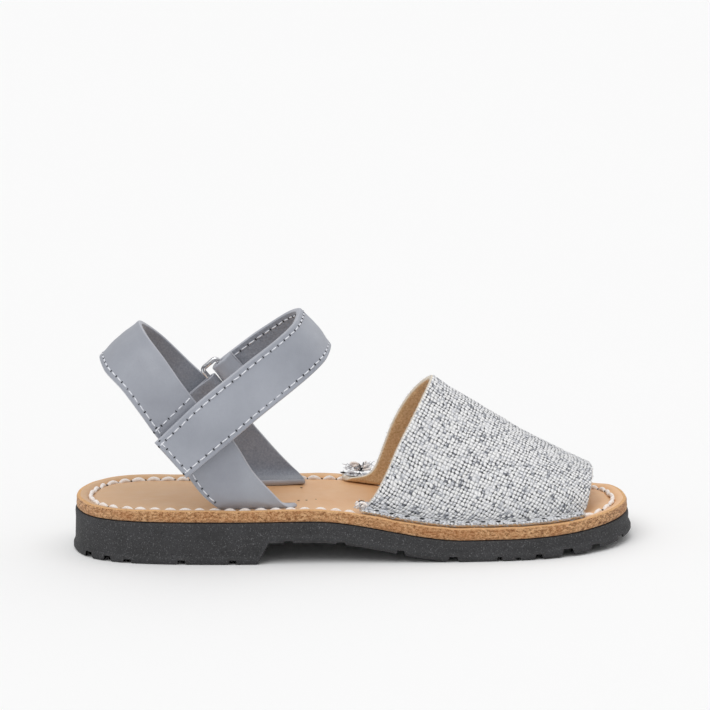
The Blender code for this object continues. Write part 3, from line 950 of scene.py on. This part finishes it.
# Zigzag of the grooves across the middle, their slant at the heel and the forefoot, and their section:
# half widths at the foot and at the bottom as shares of the width, and reach below the rubber
ZIG_SIZE = 1.6 * MM
ZIG_LENGTH = 9 * MM
ZIG_ZONE = 0.34
HEEL_SLANT = 0.06
FORE_SLANT = -0.05
GROOVE_FOOT = 0.93
GROOVE_TIP = 0.434
GROOVE_BELOW = 3 * MM


def tread_cutters():
    """Zigzag grooves across the underside in one mesh."""
    verts = []
    faces = []
    for along, wide, deep in TREAD:
        steps = np.linspace(-0.62, 0.62, 23) * WIDTH
        saw = 2 * np.abs((steps / ZIG_LENGTH) % 1 * 2 - 1) - 1
        zig = ZIG_SIZE * saw * (np.abs(steps) < ZIG_ZONE * WIDTH)
        slant = HEEL_SLANT if along < HEEL_FRONT else FORE_SLANT
        x = -HALF + LENGTH * along + zig + (steps + 0.45 * WIDTH) * slant
        low = float(rubber_bottom(np.array(along)))
        foot = wide * MM * GROOVE_FOOT
        tip = wide * MM * GROOVE_TIP
        section = ((-foot, -GROOVE_BELOW), (foot, -GROOVE_BELOW), (tip, deep * MM), (-tip, deep * MM))
        start = len(verts)
        for px, py in zip(x, steps):
            verts += [(px + aside, py, low + lift) for aside, lift in section]
        for i in range(len(steps) - 1):
            for k in range(4):
                j = (k + 1) % 4
                a = start + i * 4
                faces.append((a + k, a + 4 + k, a + 4 + j, a + j))
        faces.append((start, start + 1, start + 2, start + 3))
        end = len(verts) - 4
        faces.append((end + 3, end + 2, end + 1, end))
    mesh = bpy.data.meshes.new("tread_cutters")
    mesh.from_pydata(verts, [], faces)
    obj = bpy.data.objects.new("tread_cutters", mesh)
    bpy.context.scene.collection.objects.link(obj)
    return obj


def make_outsole():
    def above(lift):
        return lambda s: rubber_bottom(s) + np.minimum(lift, 0.4 * (rubber_top(s) - rubber_bottom(s)))

    def under(drop):
        return lambda s: rubber_top(s) - drop

    levels = [
        (LIP * 1.4, rubber_bottom),
        (LIP * 0.3, lambda s: rubber_bottom(s) + 0.03 * MM),
        (-LIP * 0.55, above(0.2 * MM)),
        (-LIP, above(0.75 * MM)),
        (-LIP, above(1.9 * MM)),
        (-LIP * 0.7, above(2.5 * MM)),
        (-LIP * 0.25, above(2.9 * MM)),
        (0.1 * MM, under(3.4 * MM)),
        (0.0, under(1.2 * MM)),
        (0.1 * MM, under(0.35 * MM)),
        (0.45 * MM, under(0.0)),
    ]
    outsole = ring_solid("sole_rubber", levels, sole_stations(190), 10, [M_RUBBER], [0] * 11)
    cutter = tread_cutters()
    cut = outsole.modifiers.new("tread", "BOOLEAN")
    cut.object = cutter
    cut.operation = "DIFFERENCE"
    cut.solver = "EXACT"
    soften = outsole.modifiers.new("soften", "BEVEL")
    soften.width = 0.18 * MM
    soften.segments = 1
    soften.limit_method = "ANGLE"
    soften.angle_limit = math.radians(48)
    graph = bpy.context.evaluated_depsgraph_get()
    mesh = bpy.data.meshes.new_from_object(outsole.evaluated_get(graph))
    outsole.modifiers.clear()
    outsole.data = mesh
    mesh.shade_smooth()
    mesh.set_sharp_from_angle(angle=math.radians(38))
    bpy.data.objects.remove(cutter, do_unlink=True)
    ride_all([outsole], "outsole", finish="rubber")


# Section of the insole's edge, rim and stitch trough: inset and height above the named level, in mm
INSOLE_SECTION = (
    ("foot", 0.3, 0.0),
    ("foot", 0.0, 0.25),
    ("foot", -0.1, 1.2),
    ("rim", 0.05, -1.4),
    ("rim", 0.0, -0.6),
    ("rim", 0.2, -0.2),
    ("rim", 0.55, 0.0),
    ("rim", 1.3, 0.0),
    ("rim", 2.4, -0.08),
    ("rim", 3.2, -0.35),
    ("rim", 3.8, -0.85),
    ("bed", 4.2, -0.3),
    ("bed", 4.8, -0.5),
    ("bed", 5.5, -0.4),
    ("bed", 6.1, -0.05),
    ("bed", 6.8, 0.08),
    ("bed", 7.6, 0.03),
    ("bed", 8.6, 0.0),
)


def make_insole():
    base = {"foot": SEAT, "rim": SEAT + INSOLE_THICK, "bed": SEAT + INSOLE_THICK - RIM_RAISE}

    def level(name, lift):
        return lambda s: rubber_top(s) + base[name] + lift * MM

    levels = [(INSOLE_INSET + aside * MM, level(name, lift)) for name, aside, lift in INSOLE_SECTION]
    slots = [1] * 5 + [2] * 2 + [0] * 11

    def detail(points):
        """Soft waves of the bed, uneven from use, and the rim, none on the side faces."""
        lower = insole_top(share_of(points[:, 0])) - 1.0 * MM
        flat = points * (1, 1, 0)
        waves = wave(flat, 26 * MM, 4) * 0.10 + wave(flat, 9 * MM, 8) * 0.045 + wave(flat, 13 * MM, 9) * 0.12
        return waves * MM * (points[:, 2] > lower)

    insole = ring_solid("insole_board", levels, sole_stations(220), 30, [M_TAN, M_EDGE, M_RIM], slots, detail)
    ride_all([insole], "insole", finish="tan_leather")


# Where the rim's stitches stop beside the vamp, as shares of the length
ROPE_HEEL_OUTER = 0.505
ROPE_HEEL_INNER = 0.525
ROPE_TOE = 0.925
ROPE_INSET = 4.9 * MM


def make_rope():
    """Thick waxed stitches in the insole's trough, round the heel and the toe."""
    flat, shares = plan_ring(INSOLE_INSET + ROPE_INSET, sole_stations(400))
    points = np.column_stack((flat, insole_top(shares) + 0.1 * MM))
    outer = points[:, 1] < (edge_y(shares, "outer") + edge_y(shares, "inner")) / 2
    outer[0] = True
    heel = (~outer & (shares < ROPE_HEEL_INNER), outer & (shares < ROPE_HEEL_OUTER))
    toe = (outer & (shares > ROPE_TOE), ~outer & (shares > ROPE_TOE))
    runs = []
    for first, then in (heel, toe):
        line = np.concatenate((points[first], points[then]))
        steps = np.linalg.norm(np.diff(line, axis=0), axis=1)
        runs.append(line[np.concatenate(([True], steps > 1e-7))])
    paths = []
    radii = []
    holes = []
    for n, line in enumerate(runs):
        up = np.tile((0.0, 0.0, 1.0), (len(line), 1))
        p, r, h = stitches(line, up, 5.0 * MM, 4.7 * MM, 0.74 * MM, seed=5 + n, sink=0.1, jitter=0.08)
        paths += p
        radii += r
        holes += h
    rope = tubes("rim_stitches", paths, radii, [M_ROPE], 10)
    dots = hole_slits("rim_stitch_hole_shade", holes, 0.45, 0.28, 0.0)
    ride_all([rope, dots], finish="thread")


# Vamp

def edge_slant(along, side):
    rise = edge_y(along + SLANT_STEP, side) - edge_y(along - SLANT_STEP, side)
    return np.cos(np.arctan2(rise, 2 * SLANT_STEP * SOLE_LENGTH))


def vamp_points(u, w):
    """Middle surface of the vamp: u from back to front, w from the outer rim to the inner rim."""
    height = curve_value(VAMP[:, 0], VAMP[:, 1], u) * VAMP_RISE
    fullness = curve_value(VAMP[:, 0], VAMP[:, 2], u)
    shift = curve_value(VAMP[:, 0], VAMP[:, 3], u)
    side = np.where(w < 0, -1.0, 1.0)
    past = np.abs(w)
    flat = past > 1 - FLANGE_SHARE
    angle = np.clip(past / (1 - FLANGE_SHARE), 0, 1) * math.pi / 2
    lift = np.where(flat, 0.0, np.clip(np.cos(angle), 0, 1) ** (2 / fullness))
    cross = np.where(flat, 1.0, np.clip(np.sin(angle), 0, 1) ** (2 / fullness))
    reach = VAMP_RIM_INSET + VAMP_FLANGE * np.where(flat, (1 - past) / FLANGE_SHARE, 1.0)
    outer_lean = curve_value(VAMP_LEAN[:, 0], VAMP_LEAN[:, 1], lift)
    inner_lean = curve_value(VAMP_LEAN[:, 0], VAMP_LEAN[:, 2], lift)
    lean = np.where(w < 0, outer_lean, inner_lean)
    back_foot = np.where(w < 0, BACK_FOOT_OUTER, BACK_FOOT_INNER)
    foot = back_foot + (FRONT_FOOT - back_foot) * u
    crest = BACK_CREST + (FRONT_CREST - BACK_CREST) * u
    along = foot + (crest - foot) * lean
    outer = edge_y(along, "outer") + (INSOLE_INSET + reach) / edge_slant(along, "outer")
    inner = edge_y(along, "inner") - (INSOLE_INSET + reach) / edge_slant(along, "inner")
    half = (inner - outer) / 2
    y = (outer + inner) / 2 + side * half * cross + shift * half * lift
    rim_share = (STITCH_INSET - reach) / (STITCH_INSET - EDGE_ROUND)
    rim_lift = RIM_RAISE * np.maximum(0, rim_share)
    z = insole_top(along) + VAMP_SEAT + VAMP_WALL / 2 + rim_lift + height * lift
    return np.stack((-HALF + along * LENGTH, y, z), axis=-1)


def even_columns(grid, radius, spacing):
    """Points of each row placed again along the row, close together at both ends."""
    turned = np.swapaxes(grid, 0, 1)
    return np.swapaxes(even_rows(turned, radius, spacing), 0, 1)


def soften_bend(grid, passes):
    """Evens out sharp bends across the rows, with the two rims held."""
    for _ in range(passes):
        grid[:, 1:-1] = grid[:, 1:-1] * 0.5 + (grid[:, :-2] + grid[:, 2:]) * 0.25
    return grid


def make_vamp():
    u, w = np.meshgrid(np.linspace(0, 1, 90), np.linspace(-1, 1, 561), indexing="ij")
    grid = vamp_points(u, w)
    grid = np.stack([even_line(line, 261) for line in grid])
    grid = soften_bend(grid, 10)
    grid = even_rows(grid, 0.9 * MM, 0.9 * MM)
    grid = even_columns(grid, 0.9 * MM, 0.5 * MM)
    lift = 0.28 * wave(grid, 21 * MM, 3) * MM + 0.10 * wave(grid, 7 * MM, 6) * MM
    vamp = rounded_wall("vamp_cloth", grid, VAMP_WALL, 0.9 * MM, [M_LINEN, M_SUEDE, M_CUT], lift, VAMP_OUT,
                        side_radius=2.6 * MM)
    ride_all([vamp, make_fibres(grid)], "vamp", finish="linen")
    return grid


def even_line(line, count):
    """The line with count points at even distances."""
    where = run_lengths(line)
    return read_line(np.linspace(0, where[-1], count), where, line)


def make_fibres(grid):
    """Loose yarn ends along the cloth's cut edges on the insole and at the two openings."""
    rng = np.random.default_rng(21)
    normal = grid_normals(grid)
    paths = []
    radii = []

    def sprout(p, out, up, along, reach, thick):
        bend = rng.normal(size=3) * 0.35
        tip = out + up * rng.uniform(-0.25, 0.35) + along * rng.normal() * 0.5 + bend * 0.4
        tip /= np.linalg.norm(tip)
        size = reach * rng.uniform(0.4, 1.2)
        middle = p + tip * size * 0.5 + bend * size * 0.25
        paths.append(np.array((p - out * 0.5 * MM, middle, p + tip * size)))
        radii.append((thick, thick * 0.9, thick * 0.5))

    for column, inward in ((0, 1), (-1, -2)):
        edge = grid[:, column]
        outward = unit(edge - grid[:, inward])
        where = run_lengths(edge)
        for at in np.arange(0.4 * MM, where[-1], 0.16 * MM):
            k = int(np.interp(at, where, np.arange(len(edge))))
            along = unit(edge[min(k + 1, len(edge) - 1)] - edge[max(k - 1, 0)])
            up = normal[k, column] * (1 if normal[k, column][2] > 0 else -1)
            p = read_line(at, where, edge) + up * rng.uniform(-0.7, 0.6) * MM
            sprout(p, outward[k], up, along, 1.2 * MM, rng.uniform(0.07, 0.15) * MM)
    for row, inward in ((0, 1), (-1, -2)):
        edge = grid[row]
        outward = unit(edge - grid[inward])
        where = run_lengths(edge)
        for at in np.arange(0.4 * MM, where[-1], 0.8 * MM):
            k = int(np.interp(at, where, np.arange(len(edge))))
            k = min(max(k, 1), len(edge) - 2)
            along = unit(edge[k + 1] - edge[k - 1])
            p = read_line(at, where, edge) + normal[row, k] * rng.uniform(-0.2, 0.6) * MM
            sprout(p, outward[k], normal[row, k], along, 0.5 * MM, rng.uniform(0.04, 0.08) * MM)
    return tubes("vamp_yarn_ends", paths, radii, [M_YARN], 4)


def make_vamp_stitches(grid):
    """Sunk stitches that hold the vamp's margins to the insole, with dark dashes of painted shadow between
    them, where the stitches press the cloth in.
    """
    paths = []
    radii = []
    shadow_paths = []
    shadow_radii = []
    inset = inset_share(grid, MARGIN_SEAM)
    for side, share in enumerate((inset, 1 - inset)):
        points, normals = line_on_wall(grid, share, VAMP_WALL, VAMP_OUT)
        sizes = (5.2 * MM, 3.4 * MM, 0.5 * MM)
        p, r, h = stitches(points, normals, *sizes, seed=31 + side, sink=0.6, jitter=0.1)
        rng = np.random.default_rng(40 + side)
        for k, path in enumerate(p):
            sunk = 0.35 * MM if 1 < k else -0.15 * MM
            paths.append(path - normals[0] * sunk)
        radii += r
        # Painted shadow: a dark dash at each stitch's hole, where the cloth is pressed in.
        for spot, out, _ in h:
            base = spot + out * 0.05 * MM
            line = np.linspace(-0.8, 0.8, 4)[:, None] * MM
            step = np.array((1.0, rng.normal() * 0.3, 0.0))
            shadow_paths.append(base + line * step)
            shadow_radii.append(np.array((0.5, 1, 1, 0.5)) * 0.3 * MM)
    white = tubes("vamp_margin_stitches", paths, radii, [M_YARN], 8)
    dark = tubes("vamp_margin_stitch_shadows", shadow_paths, shadow_radii, [M_SHADE_AND_DARK_THREAD], 6)
    ride_all([white, dark], finish="thread")


def make_knots():
    """Tied thread and frayed cloth where the margins' seams end at the back, one bundle a side."""
    rng = np.random.default_rng(63)
    rope = []
    dark = []
    frayed = []
    turn = np.linspace(0, 1, 9)[:, None]
    for middle, size in (((2.6, -28.6, 19.0), (2.2, 1.5, 0.8)), ((3.2, 25.8, 20.0), (4.6, 1.1, 1.2))):
        middle = np.array(middle) * MM
        size = np.array(size) * MM
        for k in range(15):
            place = middle + rng.uniform(-0.6, 0.6, 3) * size
            first = rng.normal(size=3) * (1.0, 0.7, 0.6)
            second = rng.normal(size=3) * (0.8, 0.7, 0.9)
            first *= rng.uniform(0.9, 1.5) * MM / np.linalg.norm(first)
            second *= rng.uniform(0.9, 1.5) * MM / np.linalg.norm(second)
            arc = turn * rng.uniform(2.2, 4.2)
            loop = place + first * np.cos(arc) + second * np.sin(arc)
            (rope if k % 3 else dark).append(loop)
        for k in range(70):
            place = middle + rng.uniform(-1.0, 1.0, 3) * size
            out = rng.normal(size=3) * (1.0, 0.7, 0.6)
            out *= rng.uniform(0.8, 1.9) * MM / np.linalg.norm(out)
            frayed.append(np.array((place, place + out * 0.5 + rng.normal(size=3) * 0.15 * MM, place + out)))
    taper = np.array((0.7, 0.9, 1, 1, 1, 1, 1, 0.9, 0.7))
    pieces = (
        tubes("seam_end_rope", rope, [taper * 0.42 * MM] * len(rope), [M_ROPE], 8),
        tubes("seam_end_thread", dark, [taper * 0.2 * MM] * len(dark), [M_SHADE_AND_DARK_THREAD], 6),
        tubes("seam_end_yarn", frayed, [np.array((1.0, 0.9, 0.5)) * 0.13 * MM] * len(frayed), [M_YARN], 5),
    )
    ride_all(pieces, finish="thread")


# Straps as seen

def strap_stitches(name, lines, seed, pitch=3.3, length=2.6, radius=0.24):
    """Fine rows of thread with their holes; pitch, length and radius in mm."""
    sizes = (pitch * MM, length * MM, radius * MM)
    paths = []
    radii = []
    holes = []
    for n, (points, normals) in enumerate(lines):
        p, r, h = stitches(points, normals, *sizes, seed=seed + n, sink=0.15, jitter=0.05)
        paths += p
        radii += r
        holes += h
    rows = tubes(name, paths, radii, [M_THREAD], 7)
    dots = hole_slits(name + "_hole_shade", holes, 0.42, 0.24)
    ride_all([rows, dots], finish="thread")


def crown(grid):
    """Soft swelling of a strap's outer face between its seams."""
    u, v = grid_lengths(grid)
    from_rim = np.minimum(v, v[:, -1:] - v)
    return STRAP_CROWN * smoothstep(CROWN_FROM, CROWN_TO, np.minimum(from_rim, u))


def make_slingback():
    shares = np.linspace(0, 1, 41)
    grid = strap_grid(SLING, SLING_RISE, 900, shares, SLING_WALL / 2)
    grid = even_rows(grid, 0.7 * MM, 0.7 * MM)
    grid = even_columns(grid, 0.7 * MM, 0.7 * MM)
    lift = crown(grid) + 0.16 * wave(grid, 34 * MM, 12) * MM + 0.05 * wave(grid, 8 * MM, 13) * MM
    faces = [M_LEATHER, M_LEATHER_IN, M_LEATHER_RIM_HIGHLIGHT]
    sling = rounded_wall("slingback_band", grid, SLING_WALL, 0.7 * MM, faces, lift, SLING_OUT)
    ride_all([sling], "slingback", finish="grey_leather")
    rear = line_on_wall(grid, 1 - inset_share(grid, SEAM_INSET), SLING_WALL, SLING_OUT, 0.05, 0.92)
    strap_stitches("slingback_stitches", [rear, closure_line(grid)], 60)


def closure_line(sling):
    """Seam on the slingback along the ankle strap's upper edge, where the closure's patch is sewn on."""
    normal = grid_normals(sling) * SLING_OUT
    near = sling[:, :, 1] < 0
    places = sling[near]
    leans = normal[near]
    swell = crown(sling)[near]
    strap = strap_grid(ANKLE, ANKLE_RISE, 121, (0, 1))
    points = []
    normals = []
    for upper, lower in strap[1:60]:
        at = upper + (upper - lower) / np.linalg.norm(upper - lower) * MARGIN_SEAM
        gaps = np.hypot(places[:, 0] - at[0], places[:, 2] - at[2])
        k = int(np.argmin(gaps))
        if gaps[k] > 1.0 * MM:
            continue
        points.append(np.array((at[0], places[k][1], at[2])) + leans[k] * (SLING_WALL / 2 + swell[k]))
        normals.append(leans[k])
    return np.array(points), np.array(normals)


def make_ankle_strap():
    shares = np.linspace(0, 1, 31)
    grid = strap_grid(ANKLE, ANKLE_RISE, 700, shares)
    bar, away, _, _ = ring_frame()
    radius = ANKLE_WALL / 2 + SEAT + RING_WIRE
    closing = 2 * radius - ANKLE_WALL - SEAT
    path = half_turn(radius)[1:]
    path.append((-radius * FOLD_EASE, -radius))
    path += [(-radius - (FOLD_BACK - radius) * way, -radius + closing * close) for way, close in STRAP_RETURN]
    rows = list(grid)
    for past, up in path:
        row = grid[-1] + away * past
        row[:, 1] = bar[1] + up
        rows.append(row)
    full = even_rows(np.array(rows), 0.75 * MM, 0.6 * MM)
    full = even_columns(full, 0.75 * MM, 0.7 * MM)
    lift = crown(full) + 0.14 * wave(full, 30 * MM, 15) * MM + 0.05 * wave(full, 7 * MM, 16) * MM
    faces = [M_STRAP, M_LEATHER_IN, M_LEATHER_RIM_HIGHLIGHT]
    strap = rounded_wall("ankle_band", full, ANKLE_WALL, 0.75 * MM, faces, lift, ANKLE_OUT)
    ride_all([strap], "ankle_strap", finish="grey_leather")
    lines = []
    inset = inset_share(full, SEAM_INSET)
    for face in (ANKLE_OUT, -ANKLE_OUT):
        lines += [line_on_wall(full, share, ANKLE_WALL, face, 0.016, 0.86) for share in (inset, 1 - inset)]
    turned = np.swapaxes(full[: len(full) // 3], 0, 1)
    lines.append(line_on_wall(turned, inset_share(turned, SEAM_INSET), ANKLE_WALL, -ANKLE_OUT, 0.14, 0.86))
    strap_stitches("ankle_stitches", lines, 70)


def make_patch():
    grid = strap_grid(ANKLE, ANKLE_RISE, 55, (PATCH_MARGIN, 0.5, 1 - PATCH_MARGIN))[1:6]
    grid = grid + np.array((0, ANKLE_WALL / 2 + SEAT + PATCH_WALL / 2, 0))
    grid = even_columns(even_rows(grid, 0.5 * MM, 0.6 * MM), 0.5 * MM, 0.6 * MM)
    lift = 0.12 * wave(grid, 2.2 * MM, 18) * MM
    patch = rounded_wall("hook_loop_layer", grid, PATCH_WALL, 0.5 * MM, [M_PILE], lift)
    ride_all([patch], "hook_loop_patch", finish="hook_loop")


def make_ring():
    bar, away, across, half = ring_frame()
    long = half + SEAT + RING_CORNER
    corners = (
        (0, -long, math.pi),
        (RING_SHORT, -long, math.pi * 1.5),
        (RING_SHORT, long, 0),
        (0, long, math.pi / 2),
    )
    points = []
    for past, side, start in corners:
        centre_past = past + (RING_CORNER if past == 0 else -RING_CORNER)
        centre_side = side + (RING_CORNER if side < 0 else -RING_CORNER)
        for k in range(9):
            angle = start + math.pi / 2 * k / 8
            a = centre_past + RING_CORNER * math.cos(angle)
            b = centre_side + RING_CORNER * math.sin(angle)
            points.append(bar + away * a + across * b)
    data = bpy.data.curves.new("wire_ring", "CURVE")
    data.dimensions = "3D"
    data.bevel_depth = RING_WIRE
    data.bevel_resolution = 6
    spline = data.splines.new("POLY")
    spline.points.add(len(points) - 1)
    for point, at in zip(spline.points, points):
        point.co = (*at, 1)
    spline.use_cyclic_u = True
    spline.use_smooth = True
    data.materials.append(M_STEEL)
    ring = bpy.data.objects.new("wire_ring", data)
    bpy.context.scene.collection.objects.link(ring)
    ride_all([ring], "ring", finish="steel")


def make_tab():
    bar, away, across, _ = ring_frame()
    rear = bar + away * RING_SHORT
    radius = TAB_WALL / 2 + SEAT + RING_WIRE
    closing = 2 * radius - TAB_WALL - SEAT
    path = [(TAB_LENGTH * way, radius) for way in TAB_UNDER]
    path += [(-past, up) for past, up in half_turn(radius)]
    path += [(TAB_LENGTH * way, -radius + closing * close) for way, close in TAB_RETURN]
    shares = np.linspace(-0.5, 0.5, 17)[:, None] * TAB_WIDTH
    rows = [rear + away * past + np.array((0, up, 0)) + across * shares for past, up in path]
    grid = even_columns(even_rows(np.array(rows), 0.5 * MM, 0.5 * MM), 0.5 * MM, 0.6 * MM)
    lift = 0.05 * wave(grid, 6 * MM, 19) * MM
    tab = rounded_wall("ring_loop", grid, TAB_WALL, 0.5 * MM, [M_LEATHER, M_LEATHER_IN, M_LEATHER_RIM_HIGHLIGHT], lift)
    ride_all([tab], "ring_tab", finish="grey_leather")
    lines = [line_on_wall(grid, share, TAB_WALL, TAB_OUT, 0.56, 0.97) for share in (0.14, 0.86)]
    strap_stitches("tab_stitches", lines, 90, 2.2, 1.7, 0.25)


# Pinholes in the bed, x and y in mm
PINS = ((-18.6, -13.0), (-15.9, -13.0), (-12.7, -11.8), (-17.2, 6.4))


def make_pins():
    """Pinholes pricked in the bed between the straps, as dots of painted shade."""
    holes = []
    for x, y in PINS:
        x = x * MM
        z = float(insole_top(np.array(share_of(x)))) + 0.16 * MM
        holes.append((np.array((x, y * MM, z)), np.array((0.0, 0.0, 1.0))))
    dots = hole_dots("bed_pinhole_shade", holes, 0.45 * MM, [M_SHADE_AND_DARK_THREAD])
    ride_all([dots], finish="thread")


# Floor, light and camera

def make_stage():
    mesh = bpy.data.meshes.new("floor")
    reach = 3.0
    corners = [(-reach, -reach, 0), (reach, -reach, 0), (reach, reach, 0), (-reach, reach, 0)]
    mesh.from_pydata(corners, [], [(0, 1, 2, 3)])
    s = Shader("pale_floor")
    paper = s.noise(s.place(), 4.0, 2)
    color = s.ramp(paper, ((0.0, (0.93, 0.93, 0.93)), (1.0, (0.94, 0.94, 0.94))))
    mesh.materials.append(s.finish(color, 0.9, Specular_IOR_Level=0.1))
    floor = bpy.data.objects.new("floor", mesh)
    bpy.context.scene.collection.objects.link(floor)


def sun(name, toward, power, spread):
    data = bpy.data.lights.new(name, "SUN")
    data.energy = power
    data.angle = math.radians(spread)
    lamp = bpy.data.objects.new(name, data)
    lamp.rotation_euler = Vector(toward).to_track_quat("-Z", "Y").to_euler()
    bpy.context.scene.collection.objects.link(lamp)


def make_lights():
    world = bpy.data.worlds.new("studio")
    world.use_nodes = True
    background = world.node_tree.nodes["Background"]
    background.inputs["Color"].default_value = (1, 1, 1, 1)
    background.inputs["Strength"].default_value = WORLD_POWER
    bpy.context.scene.world = world
    sun("key_softbox", (0.3, 0.5, -1.0), KEY_POWER, 50)
    sun("rear_softbox", (-0.5, -0.8, -1.0), REAR_POWER, 80)


def make_camera():
    turn = math.radians(CAMERA["turn"])
    rise = math.radians(CAMERA["elevation"])
    roll = math.radians(CAMERA["roll"])
    right = Vector((math.cos(turn), -math.sin(turn), 0))
    level = Vector((math.sin(turn), math.cos(turn), 0))
    forward = level * math.cos(rise) - Vector((0, 0, math.sin(rise)))
    up = level * math.sin(rise) + Vector((0, 0, math.cos(rise)))
    right_rolled = right * math.cos(roll) - up * math.sin(roll)
    up_rolled = right * math.sin(roll) + up * math.cos(roll)
    base = Matrix((right_rolled, up_rolled, -forward)).transposed()
    focal = CAMERA["px_per_m"] * CAMERA["distance"]
    toward = Vector((ORIGIN_PX[0] - FRAME_PX / 2, FRAME_PX / 2 - ORIGIN_PX[1], -focal)).normalized()
    turn_to = toward.rotation_difference(Vector((0, 0, -1))).to_matrix()
    matrix = (base @ turn_to).to_4x4()
    matrix.translation = -forward * CAMERA["distance"]
    data = bpy.data.cameras.new("photo_camera")
    data.sensor_fit = "HORIZONTAL"
    data.sensor_width = 36
    data.lens = focal / FRAME_PX * 36
    data.clip_start = 0.1
    data.clip_end = 20
    camera = bpy.data.objects.new("photo_camera", data)
    camera.matrix_world = matrix
    bpy.context.scene.collection.objects.link(camera)
    bpy.context.scene.camera = camera


bpy.context.scene.view_settings.view_transform = "Standard"
make_stage()
make_lights()
make_camera()
make_outsole()
make_insole()
make_rope()
vamp_middle = make_vamp()
make_vamp_stitches(vamp_middle)
make_knots()
make_slingback()
make_ankle_strap()
make_patch()
make_ring()
make_tab()
make_pins()
